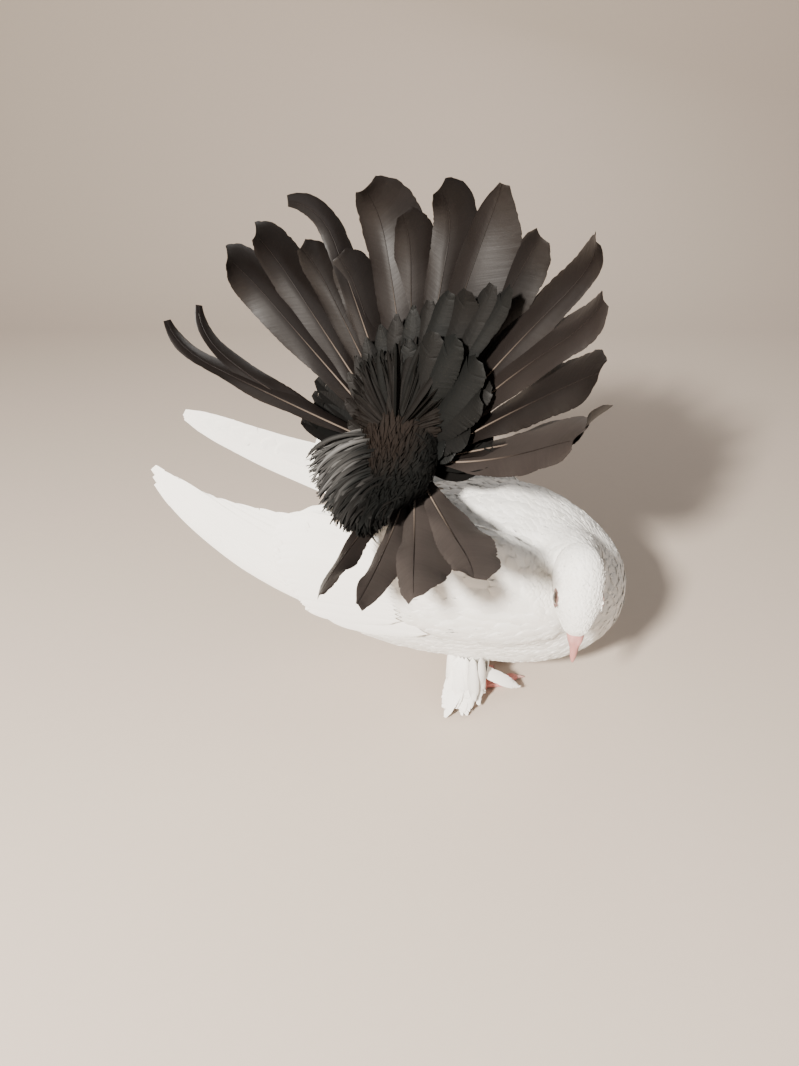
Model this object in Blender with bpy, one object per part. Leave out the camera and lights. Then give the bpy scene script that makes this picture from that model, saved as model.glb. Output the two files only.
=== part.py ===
# Fantail pigeon, life size: white body, feathered feet and a raised black fan of a tail.
# Units are metres, +Z is up, the bird looks along +X and its left side is +Y.
# It stands on the floor, Z = 0, on its two feet.
import math
import random

import bmesh
import bpy
from mathutils import Matrix, Vector

# Driving dimensions of the body
GAP = 0.0003
TORSO_MID = Vector((0.012, 0.0, 0.085))
TORSO_PITCH = math.radians(18.0)
TORSO_STATIONS = (
    (-0.124, -0.0250, 0.0080, 0.009), (-0.108, -0.0265, 0.0260, 0.026), (-0.078, -0.0225, 0.0450, 0.042),
    (-0.040, -0.0125, 0.0580, 0.052), (0.000, -0.0035, 0.0615, 0.0550), (0.030, -0.0015, 0.0580, 0.054),
    (0.055, -0.0015, 0.0490, 0.0475), (0.074, 0.0000, 0.0360, 0.0365), (0.0865, 0.0000, 0.0200, 0.0210),
    (0.0920, 0.0000, 0.0070, 0.0075),
)

# Head and neck: the head is turned to the right and held bill down against the breast
BILL_BASE = Vector((0.0506, -0.085, 0.0889))
BILL_AXIS = Vector((-0.05, -0.30, -0.953)).normalized()
CROWN_SIDE = Vector((0.02, -0.84, 0.53))
# The skull: distance behind the bill's base, half width, half height and rise of its middle
HEAD_STATIONS = (
    (0.0000, 0.0048, 0.0046, 0.0000), (0.0030, 0.0068, 0.0072, -0.0006),
    (0.0080, 0.0094, 0.0100, -0.0016), (0.0150, 0.0122, 0.0128, -0.0026),
    (0.0220, 0.0140, 0.0142, -0.0034), (0.0300, 0.0146, 0.0146, -0.0044),
    (0.0370, 0.0138, 0.0140, -0.0054), (0.0430, 0.0118, 0.0122, -0.0062),
    (0.0480, 0.0080, 0.0086, -0.0070), (0.0505, 0.0028, 0.0030, -0.0074),
)
# The neck below the skull: distance behind the bill's base, drop from the crown's line, half sizes
NECK_STATIONS = (
    (0.0340, -0.0090, 0.0110, 0.0115), (0.0345, -0.0180, 0.0140, 0.0138), (0.0345, -0.0300, 0.0190, 0.0182),
    (0.0315, -0.0430, 0.0250, 0.0235), (0.0260, -0.0580, 0.0300, 0.0270),
)
NECK_STEPS = 8
EYE_BACK = 0.0205
EYE_RADIUS = 0.0052
EYE_OUT = 0.0091
EYE_UP = -0.0012
LID_RADIUS = 0.0046
LID_HALF = 0.0008
LID_OUT = 0.0132
# Bill: length, and height of its halves at the base; the flaps over the nostrils and their slits
BILL_LENGTH = 0.0165
BILL_WIDTH = 0.0084
BILL_TALL = {"bill_upper": 0.0040, "bill_lower": 0.0028}
BILL_SHARE = {"bill_upper": 1.0, "bill_lower": 0.93}
BILL_DROOP = 0.0016
BILL_DROP = 0.0006
# How the bill narrows to its tip: the tip's half width, the power of the taper, loss of height
BILL_TIP_HALF = 0.0007
BILL_TAPER = 0.55
BILL_THINNING = 0.8
MOUTH_HALF = 0.00016
FLAP_AT = (-0.0036, 0.0021, 0.0022)
FLAP_SIZE = Vector((0.0033, 0.0021, 0.0020))
SLIT_AT = (-0.0062, 0.0033, 0.0017)
SLIT_SIZE = Vector((0.0015, 0.0008, 0.0004))

# Tail: the fan is a wide funnel round its own axis, cocked up and turned to the right
FAN_ROOT = Vector((-0.038, 0.004, 0.153))
FAN_AXIS = Vector((-0.23, -0.69, 0.69)).normalized()
FAN_OPENING = math.radians(44.8)
RING_INNER = 0.020
RING_OUTER = 0.040
RING_HALF = 0.0022
FAN_MIDDLE = 38.0
FAN_TILT = math.radians(10.0)
FAN_CROWDING = 0.92
# The middle feather opens this much wider, and the others' quills lie this far off their middle
FAN_MIDDLE_OPENING = math.radians(1.5)
QUILL_OFFSET = 0.14
FAN_GROUPS = (
    ("tail_left", -86.0, -41.2),
    ("tail_top_left", -41.2, 15.0),
    ("tail_top_right", 15.0, 72.5),
    ("tail_right", 72.5, 104.0),
    ("tail_lower", 133.0, 186.0),
)

# Tail feathers: turn round the fan in degrees, length and width in mm, then in degrees
# the bow of the quill, the curl of the tip to the viewer's side and its hook in the fan
TAIL_FEATHERS = (
    (-80.0, 166, 14, -10, 10, -28, "narrow"), (-71.5, 156, 12, -8, 10, -34, "narrow"),
    (-56.5, 159, 28, -8, 40, 20, "blunt"), (-46.8, 159, 23, -6, 42, 12, "blunt"),
    (-36.5, 142, 17, -4, 20, 0, "blunt"), (-34.5, 165, 16, -6, 14, 60, "narrow"),
    (-27.0, 126, 22, 0, 10, 0, "blunt"), (-14.0, 159, 34, -10, 40, 20, "blunt"),
    (-3.5, 145, 23, 0, 15, 10, "blunt"), (6.8, 158, 24, -8, 46, 28, "blunt"),
    (23.7, 169, 34, -8, 25, -5, "pointed"), (38.0, 156, 27, 0, 0, 0, "blunt"),
    (52.6, 176, 24, -10, 42, -12, "narrow"), (64.8, 166, 26, -8, 15, 8, "blunt"),
    (81.3, 157, 28, -4, 0, -8, "blunt"), (91.0, 154, 20, 0, 40, -6, "blunt"),
    (98.2, 147, 31, 6, 0, -10, "blunt"), (139.0, 162, 31, 8, -10, -8, "blunt"),
    (155.0, 158, 27, 6, -10, 0, "blunt"), (168.5, 156, 17, 4, 0, 0, "pointed"),
    (179.0, 151, 10, 4, 0, 5, "narrow"),
)
FEATHER_ROWS = (0.0, 0.14, 0.36, 0.60, 0.80, 0.92, 1.0)
COVERT_ROWS = (0.0, 0.45, 0.85, 1.0)
OUTLINES = {
    "blunt": (
        (0.0, 0.10), (0.12, 0.18), (0.30, 0.52), (0.52, 0.84), (0.74, 1.0), (0.90, 0.98), (1.0, 0.45),
    ),
    "pointed": (
        (0.0, 0.12), (0.12, 0.2), (0.30, 0.58), (0.55, 0.92), (0.72, 1.0), (0.86, 0.80), (1.0, 0.12),
    ),
    "narrow": (
        (0.0, 0.20), (0.12, 0.35), (0.35, 0.80), (0.60, 1.0), (0.80, 0.92), (0.92, 0.75), (1.0, 0.35),
    ),
    "wing": ((0.0, 0.30), (0.3, 0.85), (0.65, 1.0), (0.9, 0.72), (1.0, 0.25)),
    "covert": ((0.0, 0.45), (0.45, 0.95), (0.70, 1.0), (0.85, 0.85), (1.0, 0.32)),
}

# Under-tail coverts: how far they reach at each turn, in mm, and their tiers: opening of
# their funnel, share of the reach, count, first and last turn
COVERT_REACH = (
    (-95, 44), (-70, 60), (-47, 72), (-31, 82), (-10, 93), (8, 105), (23, 117), (43, 137), (47, 118),
    (52, 97), (68, 87), (78, 66), (95, 46),
)
COVERT_TIERS = (
    (39.0, 1.0, 13, -86.0, 88.0), (33.0, 0.80, 11, -82.0, 84.0), (27.0, 0.62, 9, -78.0, 80.0),
)
COVERT_TILT = math.radians(6.0)
COVERT_WIDTH = 0.019
COVERT_BOW = -6.0
# Share by which a covert's face looks out from the fan's axis
COVERT_FACING = 0.3
# Their roots lie in the mound at this height, this far out where the opening is the first tier's
COVERT_HEIGHT = 0.026
COVERT_SPREAD = 0.016
# The soft heart of the fan, from its foot to its top, in the fan's own frame in mm:
# up, front, half as wide, height on the axis, half as thick
HEART = (
    (-57, 4, 3, 67, 2.5), (-50, 4, 8, 61, 4.5), (-40, 5, 12, 53, 6), (-28, 6, 16, 44, 8),
    (-14, 3, 20, 39, 9), (0, -1, 22, 36, 9), (12, -4, 20, 36, 8), (22, -7, 14, 36, 6.5),
    (29, -8, 5, 38, 3),
)
# Loose down on the heart's left: root and tip, each as front, up and height in mm
LOOSE_DOWN = (
    (-9, -4, 36, -51, -6, 36), (-9, -11, 38, -46, -22, 38), (-7, -20, 41, -35, -37, 42),
    (-4, -29, 45, -26, -46, 47), (0, -38, 52, -12, -54, 55), (4, -47, 59, 1, -61, 66),
)
DOWN_WIDTH = 0.013
DOWN_BOW = -10.0
# The mound fills the funnel up to the last height, and is domed above it: height and radius
MOUND_HEIGHTS = (0.008, 0.016, 0.026)
MOUND_DOME = ((0.031, 0.0225), (0.035, 0.0165), (0.037, 0.0070))
STALK_FOOT = Vector((-0.044, 0.004, 0.123))
STALK_FOOT_RADIUS = 0.016
STALK_HEAD_RADIUS = 0.007

# Wings
WING_STATIONS = (
    (0.060, 0.046, 0.083, 0.010, 0.007), (0.045, 0.050, 0.088, 0.026, 0.014),
    (0.015, 0.051, 0.096, 0.038, 0.0175), (-0.020, 0.050, 0.103, 0.040, 0.0180),
    (-0.050, 0.0495, 0.109, 0.036, 0.0160), (-0.070, 0.049, 0.113, 0.028, 0.0120),
    (-0.082, 0.048, 0.115, 0.016, 0.0060),
)
# Tiers of long feathers: width, outline, count, sweep of the lowest on either side, then stations
# for the roots and for the tips from the lowest feather to the highest
WING_TIERS = {
    "right": (
        (0.020, "wing", 8, 20.0,
         ((-0.062, 0.0510, 0.073), (-0.066, 0.0490, 0.098), (-0.074, 0.0460, 0.126)),
         ((-0.1855, 0.0360, 0.1590), (-0.1862, 0.0360, 0.1695), (-0.1700, 0.0375, 0.1555),
          (-0.1500, 0.0390, 0.1470), (-0.1260, 0.0410, 0.1385))),
        (0.020, "covert", 8, 0.0,
         ((-0.045, 0.0590, 0.072), (-0.048, 0.0580, 0.102), (-0.052, 0.0520, 0.130)),
         ((-0.0900, 0.0560, 0.0820), (-0.1050, 0.0555, 0.1000), (-0.1165, 0.0545, 0.1220),
          (-0.1150, 0.0525, 0.1380), (-0.1030, 0.0490, 0.1450))),
    ),
    "left": (
        (0.019, "wing", 8, 3.0,
         ((-0.068, 0.0500, 0.098), (-0.070, 0.0490, 0.112), (-0.074, 0.0460, 0.130)),
         ((-0.1865, 0.0450, 0.1690), (-0.1870, 0.0450, 0.1730), (-0.1720, 0.0450, 0.1690),
          (-0.1500, 0.0450, 0.1610), (-0.1290, 0.0440, 0.1510))),
        (0.020, "covert", 8, 0.0,
         ((-0.045, 0.0590, 0.072), (-0.048, 0.0580, 0.102), (-0.052, 0.0520, 0.130)),
         ((-0.0780, 0.0560, 0.0820), (-0.0860, 0.0555, 0.0990), (-0.0970, 0.0545, 0.1150),
          (-0.1130, 0.0525, 0.1330), (-0.1030, 0.0490, 0.1500))),
    ),
}
WING_COVERTS = (
    0.021, "covert", 7, 0.0,
    ((-0.012, 0.0630, 0.076), (-0.014, 0.0640, 0.102), (-0.018, 0.0580, 0.126)),
    ((-0.0660, 0.0620, 0.0790), (-0.0800, 0.0610, 0.0950), (-0.0880, 0.0590, 0.1120),
     (-0.0860, 0.0570, 0.1260), (-0.0760, 0.0530, 0.1380)),
)
WING_TILT = math.radians(11.0)
WING_BOW = -4.0
WING_THICK = (0.0012, 0.0007)
PRIMARY_ROWS = (0.0, 0.3, 0.65, 0.9, 1.0)

# Legs and feet
FOOT_Y = 0.025
FOOT_YAW = {1: math.radians(8.0), -1: math.radians(22.0)}
TOE_RADIUS = 0.0034
# A toe's outline, from its root to the tip of the claw: part of its length, radius and height
TOE_PROFILE = (
    (0.0, 1.0, 0.55), (0.22, 0.88, 0.50), (0.40, 0.96, 0.55), (0.60, 0.78, 0.42), (0.74, 0.80, 0.45),
    (0.83, 0.42, 0.55), (0.92, 0.30, 0.42), (1.0, 0.10, 0.12),
)
FOOT_PAD = ((0.0, 0.0075), (0.004, 0.0075), (0.009, 0.0058), (0.0125, 0.0046))
SHANK = ((0.0128, 0.0052), (0.020, 0.0088), (0.030, 0.0142), (0.050, 0.0185))
SHANK_BACK = 0.003
TOES = ((4.0, 0.037), (-36.0, 0.029), (25.0, 0.026), (180.0, 0.021))
# Foot feathers of the right foot: heading and reach of each tip and its height
MUFF = (
    (-150, 0.022, 0.005), (-134, 0.027, 0.003), (-124, 0.033, 0.002), (-110, 0.029, 0.002),
    (-94, 0.028, 0.0015), (-76, 0.024, 0.002), (-56, 0.020, 0.005), (-8, 0.034, 0.0085),
)
MUFF_WIDTH = 0.011
MUFF_ROOT = 0.025
MUFF_SPREAD = 0.006
MUFF_BOW = -12.0

COLOURS = {
    "white": ((0.84, 0.82, 0.78), 0.85),
    "black": ((0.030, 0.026, 0.025), 0.45),
    "horn": ((0.76, 0.44, 0.40), 0.45),
    "skin": ((0.72, 0.25, 0.24), 0.6),
    "eye": ((0.03, 0.015, 0.01), 0.1),
}


def clear_scene():
    for item in list(bpy.data.objects):
        bpy.data.objects.remove(item, do_unlink=True)


def new_collection(name):
    group = bpy.data.collections.new(name)
    bpy.context.scene.collection.children.link(group)
    return group


def paint(name, finish):
    """A material of the node's own in one of the model's finishes."""
    colour, roughness = COLOURS[finish]
    material = bpy.data.materials.new(name)
    material.use_nodes = True
    shader = material.node_tree.nodes["Principled BSDF"]
    shader.inputs["Base Color"].default_value = (*colour, 1.0)
    shader.inputs["Roughness"].default_value = roughness
    return material


def smooth_stations(stations, count):
    """Points of a smooth curve through the stations, evenly spread over them."""
    last = len(stations) - 1
    result = []
    for step in range(count + 1):
        place = last * step / count
        index = min(int(place), last - 1)
        part = place - index
        before = stations[max(index - 1, 0)]
        start = stations[index]
        end = stations[index + 1]
        after = stations[min(index + 2, last)]
        values = []
        for p0, p1, p2, p3 in zip(before, start, end, after):
            bend = 2 * p1 + (p2 - p0) * part
            bend += (2 * p0 - 5 * p1 + 4 * p2 - p3) * part ** 2
            bend += (3 * p1 - p0 - 3 * p2 + p3) * part ** 3
            values.append(0.5 * bend)
        result.append(tuple(values))
    return result


def finish_mesh(bm, name):
    bmesh.ops.recalc_face_normals(bm, faces=bm.faces[:])
    mesh = bpy.data.meshes.new(name)
    bm.to_mesh(mesh)
    bm.free()
    item = bpy.data.objects.new(name, mesh)
    WORKSHOP.objects.link(item)
    return item


def ring(centre, side, up, half_side, half_up, count):
    points = []
    for step in range(count):
        angle = 2 * math.pi * step / count
        points.append(centre + side * half_side * math.cos(angle) + up * half_up * math.sin(angle))
    return points


def loft(name, rings):
    """A closed skin over a row of like rings, with a flat cap at both ends."""
    bm = bmesh.new()
    loops = [[bm.verts.new(point) for point in points] for points in rings]
    count = len(loops[0])
    for lower, upper in zip(loops, loops[1:]):
        for step in range(count):
            following = (step + 1) % count
            bm.faces.new((lower[step], lower[following], upper[following], upper[step]))
    bm.faces.new(loops[0])
    bm.faces.new(loops[-1])
    return finish_mesh(bm, name)


def sheet(name, grid, thickness):
    """A closed leaf over a grid of points, split into triangles alike on both faces.

    Its thickness is one for each row and column, or the same all over."""
    rows = len(grid)
    columns = len(grid[0])
    if isinstance(thickness, float):
        thickness = [[thickness] * columns] * rows
    bm = bmesh.new()
    faces = [[], []]
    for i in range(rows):
        upper_row = []
        lower_row = []
        for j in range(columns):
            along = grid[min(i + 1, rows - 1)][j] - grid[max(i - 1, 0)][j]
            across = grid[i][min(j + 1, columns - 1)] - grid[i][max(j - 1, 0)]
            offset = along.cross(across).normalized() * thickness[i][j] / 2
            upper_row.append(bm.verts.new(grid[i][j] + offset))
            lower_row.append(bm.verts.new(grid[i][j] - offset))
        faces[0].append(upper_row)
        faces[1].append(lower_row)
    for layer in faces:
        for i in range(rows - 1):
            for j in range(columns - 1):
                a, b = layer[i][j], layer[i][j + 1]
                c, d = layer[i + 1][j + 1], layer[i + 1][j]
                bm.faces.new((a, b, c))
                bm.faces.new((a, c, d))
    border = [(0, j) for j in range(columns)]
    border += [(i, columns - 1) for i in range(1, rows)]
    border += [(rows - 1, j) for j in range(columns - 2, -1, -1)]
    border += [(i, 0) for i in range(rows - 2, 0, -1)]
    for (i, j), (k, m) in zip(border, border[1:] + border[:1]):
        bm.faces.new((faces[0][i][j], faces[0][k][m], faces[1][k][m]))
        bm.faces.new((faces[0][i][j], faces[1][k][m], faces[1][i][j]))
    return finish_mesh(bm, name)


def share_at(outline, part):
    """Width of a feather at a part of its length, as a share of its greatest width."""
    for (start, low), (end, high) in zip(outline, outline[1:]):
        if part <= end:
            return low + (high - low) * (part - start) / (end - start)
    return outline[-1][1]


def quill(length, places, bow, curl, hook, sweep):
    """Points, side vectors and face vectors along a quill whose ends lie on +X.

    It bows and sweeps evenly, and its last third curls towards +Z and hooks towards +Y."""
    fine = 24
    point = Vector((0, 0, 0))
    line = [point.copy()]
    frames = []
    for step in range(fine + 1):
        part = step / fine
        late = max(0.0, (part - 0.68) / 0.32) ** 1.5
        tilt = math.radians(bow * (part - 0.5) * 2 + curl * late)
        turn = math.radians(sweep * (part - 0.5) * 2 + hook * late)
        along = Vector((math.cos(tilt) * math.cos(turn), math.cos(tilt) * math.sin(turn), math.sin(tilt)))
        side = Vector((-math.sin(turn), math.cos(turn), 0))
        frames.append((side, along.cross(side)))
        point = point + along / fine
        line.append(point.copy())
    chord = line[fine]
    straighten = chord.rotation_difference(Vector((1, 0, 0))).to_matrix()
    size = length / chord.length
    result = []
    for place in places:
        at = min(place * fine, fine - 1e-6)
        index = int(at)
        spot = line[index].lerp(line[index + 1], at - index)
        side, face = frames[index]
        result.append((straighten @ spot * size, straighten @ side, straighten @ face))
    return result


def feather(root, tip, face, width, outline, places=FEATHER_ROWS, bow=0.0, curl=0.0, hook=0.0, sweep=0.0,
            thick=(0.0011, 0.0006), camber=0.05, inner=0.5, lean=0.0, shaft=True):
    """A vane from root to tip, its broad face towards face and turned about its length by lean."""
    chord = tip - root
    along = chord.normalized()
    face = (face - along * face.dot(along)).normalized()
    face = face * math.cos(lean) + face.cross(along) * math.sin(lean)
    frame = Matrix((along, face.cross(along), face)).transposed()
    grid = []
    depths = []
    rows = quill(chord.length, places, bow, curl, hook, sweep)
    for place, (spot, side, normal) in zip(places, rows):
        wide = width * share_at(OUTLINES[outline], place)
        dip = normal * (-camber * wide)
        left = spot + side * wide * inner + dip
        right = spot - side * wide * (1 - inner) + dip
        row = [left, spot, right] if shaft else [left, right]
        grid.append([root + frame @ point for point in row])
        middle = thick[0] + (thick[1] - thick[0]) * place
        depths.append([thick[1], middle, thick[1]])
    return sheet("feather", grid, depths)


def apply_modifiers(item):
    """Give an object the mesh that its modifiers make, and drop them."""
    bpy.context.view_layer.update()
    graph = bpy.context.evaluated_depsgraph_get()
    mesh = bpy.data.meshes.new_from_object(item.evaluated_get(graph))
    item.modifiers.clear()
    item.data = mesh


def keep_largest(item):
    """Drop every loose surface of an object but the one round the most volume."""
    bm = bmesh.new()
    bm.from_mesh(item.data)
    bm.faces.ensure_lookup_table()
    seen = set()
    shells = []
    for first in bm.faces:
        if first in seen:
            continue
        shell = []
        queue = [first]
        seen.add(first)
        while queue:
            face = queue.pop()
            shell.append(face)
            for edge in face.edges:
                for neighbour in edge.link_faces:
                    if neighbour not in seen:
                        seen.add(neighbour)
                        queue.append(neighbour)
        shells.append(shell)
    sizes = [shell_volume(shell) for shell in shells]
    keep = sizes.index(max(sizes))
    dropped = [face for index, shell in enumerate(shells) if index != keep for face in shell]
    bmesh.ops.delete(bm, geom=dropped, context="FACES")
    bm.to_mesh(item.data)
    bm.free()


def shell_volume(shell):
    total = 0.0
    for face in shell:
        corners = [vert.co for vert in face.verts]
        for b, c in zip(corners[1:], corners[2:]):
            total += corners[0].dot(b.cross(c)) / 6
    return total


def fuse(name, pieces):
    """One closed body from pieces that overlap."""
    base = pieces[0]
    base.name = name
    if len(pieces) > 1:
        group = bpy.data.collections.new(name + "_pieces")
        for piece in pieces[1:]:
            WORKSHOP.objects.unlink(piece)
            group.objects.link(piece)
        bpy.context.scene.collection.children.link(group)
        union = base.modifiers.new("union", "BOOLEAN")
        union.operation = "UNION"
        union.operand_type = "COLLECTION"
        union.collection = group
        union.solver = "MANIFOLD"
        apply_modifiers(base)
        for piece in pieces[1:]:
            bpy.data.objects.remove(piece, do_unlink=True)
        bpy.data.collections.remove(group)
    keep_largest(base)
    return base


def cut(item, cutter):
    """Take the cutter's space out of an object and keep its main body."""
    difference = item.modifiers.new("cut", "BOOLEAN")
    difference.operation = "DIFFERENCE"
    difference.object = cutter
    difference.solver = "MANIFOLD"
    apply_modifiers(item)
    keep_largest(item)


def grown(item, margin):
    """A copy of an object whose surface stands out by the margin, for cutting."""
    mesh = item.data.copy()
    copy = bpy.data.objects.new(item.name + "_room", mesh)
    WORKSHOP.objects.link(copy)
    bm = bmesh.new()
    bm.from_mesh(mesh)
    bm.normal_update()
    moves = [(vert, vert.co + vert.normal * margin) for vert in bm.verts]
    for vert, place in moves:
        vert.co = place
    bm.to_mesh(mesh)
    bm.free()
    return copy


def make_room(item, *neighbours):
    """Cut an object clear of its neighbours by the gap that touching parts keep."""
    for neighbour in neighbours:
        room = grown(neighbour, GAP)
        cut(item, room)
        bpy.data.objects.remove(room, do_unlink=True)


def flatten_below(item, level):
    """Cut an object off flat at a height."""
    bm = bmesh.new()
    bm.from_mesh(item.data)
    geometry = bm.verts[:] + bm.edges[:] + bm.faces[:]
    bmesh.ops.bisect_plane(bm, geom=geometry, plane_co=(0, 0, level), plane_no=(0, 0, -1), clear_outer=True)
    open_edges = [edge for edge in bm.edges if edge.is_boundary]
    if open_edges:
        bmesh.ops.holes_fill(bm, edges=open_edges)
    bmesh.ops.recalc_face_normals(bm, faces=bm.faces[:])
    bm.to_mesh(item.data)
    bm.free()


def torso_axes():
    forward = Vector((math.cos(TORSO_PITCH), 0, -math.sin(TORSO_PITCH)))
    return forward, Vector((0, 1, 0)), Vector((math.sin(TORSO_PITCH), 0, math.cos(TORSO_PITCH)))


def build_torso():
    forward, left, up = torso_axes()
    rings = []
    for along, lift, tall, wide in smooth_stations(TORSO_STATIONS, 16):
        rings.append(ring(TORSO_MID + forward * along + up * lift, left, up, wide, tall, 26))
    return loft("torso", rings)


def head_axes():
    crown = (CROWN_SIDE - BILL_AXIS * CROWN_SIDE.dot(BILL_AXIS)).normalized()
    return BILL_AXIS, BILL_AXIS.cross(crown), crown


def head_point(back, side, up):
    """A point from its distance behind the bill's base, to the bird's right, and to the crown."""
    forward, right, crown = head_axes()
    return BILL_BASE - forward * back + right * side + crown * up


def build_head():
    forward, right, crown = head_axes()
    rings = []
    for back, wide, tall, drop in smooth_stations(HEAD_STATIONS, 14):
        rings.append(ring(head_point(back, 0, drop), right, crown, wide, tall, 20))
    pieces = [loft("skull", rings)]
    for side in (1, -1):
        pieces.append(build_lid(side))
    return fuse("head", pieces)


def build_lid(side):
    """The ring of bare lid round an eye."""
    forward, right, crown = head_axes()
    middle = head_point(EYE_BACK, side * LID_OUT, EYE_UP)
    rings = []
    for step in range(12):
        angle = 2 * math.pi * step / 12
        spoke = forward * math.cos(angle) + crown * math.sin(angle)
        rings.append(ring(middle + spoke * LID_RADIUS, spoke, right * side, LID_HALF, LID_HALF, 6))
    bm = bmesh.new()
    loops = [[bm.verts.new(point) for point in points] for points in rings]
    for index, loop in enumerate(loops):
        following = loops[(index + 1) % len(loops)]
        for corner in range(6):
            after = (corner + 1) % 6
            bm.faces.new((loop[corner], loop[after], following[after], following[corner]))
    return finish_mesh(bm, "lid")


def build_neck():
    forward, right, crown = head_axes()
    stations = smooth_stations(NECK_STATIONS, NECK_STEPS)
    centres = [head_point(back, 0, drop) for back, drop, wide, tall in stations]
    rings = []
    for index, (back, drop, wide, tall) in enumerate(stations):
        along = (centres[min(index + 1, NECK_STEPS)] - centres[max(index - 1, 0)]).normalized()
        up = right.cross(along).normalized()
        rings.append(ring(centres[index], right, up, wide, tall, 20))
    return loft("neck", rings)


def build_bill(name, top):
    """Upper or lower half of the bill, with its flat face on the line of the mouth."""
    forward, right, crown = head_axes()
    rings = []
    for step in range(7):
        part = step / 6
        wide = BILL_WIDTH / 2 * (1 - part) ** BILL_TAPER + BILL_TIP_HALF
        tall = BILL_TALL[name] * (1 - BILL_THINNING * part)
        reach = part * BILL_LENGTH * BILL_SHARE[name]
        centre = head_point(-GAP - reach, 0, -BILL_DROP - BILL_DROOP * part ** 2)
        points = []
        for side in range(9):
            angle = math.pi * side / 8
            lift = tall * math.sin(angle) + MOUTH_HALF
            points.append(centre + right * wide * math.cos(angle) + crown * (lift if top else -lift))
        rings.append(points)
    half = loft(name, rings)
    if not top:
        return half
    half = fuse(name, [half, bead("flap", FLAP_AT, FLAP_SIZE, 1), bead("flap", FLAP_AT, FLAP_SIZE, -1)])
    for side in (1, -1):
        slit = bead("slit", SLIT_AT, SLIT_SIZE, side)
        cut(half, slit)
        bpy.data.objects.remove(slit, do_unlink=True)
    return half


def bead(name, place, size, side):
    """A rounded lump on the head, its sizes along the bill, across it and up to the crown."""
    back, out, up = place
    bm = bmesh.new()
    bmesh.ops.create_uvsphere(bm, u_segments=10, v_segments=6, radius=1.0)
    forward, right, crown = head_axes()
    axes = Matrix((forward * size.x, right * size.y, crown * size.z)).transposed()
    for vert in bm.verts:
        vert.co = head_point(back, out * side, up) + axes @ vert.co
    return finish_mesh(bm, name)


def build_eye(name, side):
    bm = bmesh.new()
    bmesh.ops.create_uvsphere(bm, u_segments=12, v_segments=8, radius=EYE_RADIUS)
    bmesh.ops.translate(bm, verts=bm.verts[:], vec=head_point(EYE_BACK, side * EYE_OUT, EYE_UP))
    return finish_mesh(bm, name)


def fan_axes():
    up = (Vector((0, 0, 1)) - FAN_AXIS * FAN_AXIS.z).normalized()
    return FAN_AXIS, up, up.cross(FAN_AXIS)


def fan_direction(turn, opening=FAN_OPENING):
    """Unit vector out along the fan, turned from its top towards the bird's front."""
    axis, up, front = fan_axes()
    spread = up * math.cos(turn) + front * math.sin(turn)
    return axis * math.cos(opening) + spread * math.sin(opening)


def fan_place(front_by, up_by, height):
    """A place in the fan's own frame, in mm: to the bird's front, up the fan, and out along its axis."""
    axis, up, front = fan_axes()
    return FAN_ROOT + (front * front_by + up * up_by + axis * height) / 1000


def between(stations, part):
    """A place on the line through evenly spaced stations."""
    at = part * (len(stations) - 1)
    index = min(int(at), len(stations) - 2)
    return Vector(stations[index]).lerp(Vector(stations[index + 1]), at - index)


def fan_sector(name, start, end, near, far, opening, thickness, rows, columns):
    """Part of the funnel between two turns and two distances from its root."""
    grid = []
    for i in range(rows + 1):
        reach = near + (far - near) * i / rows
        margin = GAP / (reach * math.sin(opening))
        line = []
        for j in range(columns + 1):
            turn = start + margin + (end - start - 2 * margin) * j / columns
            line.append(FAN_ROOT + fan_direction(turn, opening) * reach)
        grid.append(line)
    return sheet(name, grid, thickness)


def tail_feather(centre, turn, length, width, bow, curl, hook, outline):
    """One tail feather, tilted so that its inner edge lies over the next feather inwards."""
    lean = 0.0 if turn == FAN_MIDDLE else math.copysign(FAN_TILT, turn - FAN_MIDDLE)
    opening = FAN_OPENING + (FAN_MIDDLE_OPENING if turn == FAN_MIDDLE else 0.0)
    root_turn = math.radians(centre + FAN_CROWDING * (turn - centre))
    turn = math.radians(turn)
    root = FAN_ROOT + fan_direction(root_turn, FAN_OPENING) * (RING_INNER + 0.004)
    tip = FAN_ROOT + fan_direction(turn, opening) * length / 1000
    axis, up, front = fan_axes()
    across = front * math.cos(turn) - up * math.sin(turn)
    face = (tip - root).cross(across).normalized()
    if face.dot(axis) < 0:
        face = -face
    inner = 0.5 + math.copysign(QUILL_OFFSET, lean) if lean else 0.5
    return feather(root, tip, face, width / 1000, outline, bow=bow, curl=curl, hook=hook,
                   inner=inner, lean=lean)


def build_fan_group(name, start, end):
    """A sector of the fan: the band of flesh that its feathers grow from, and all of these."""
    centre = (start + end) / 2
    band = fan_sector(name, math.radians(start), math.radians(end), RING_INNER, RING_OUTER, FAN_OPENING,
                      RING_HALF * 2, 3, 6)
    pieces = [band]
    for turn, *shape in TAIL_FEATHERS:
        if start < turn < end:
            pieces.append(tail_feather(centre, turn, *shape))
    return fuse(name, pieces)


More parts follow.
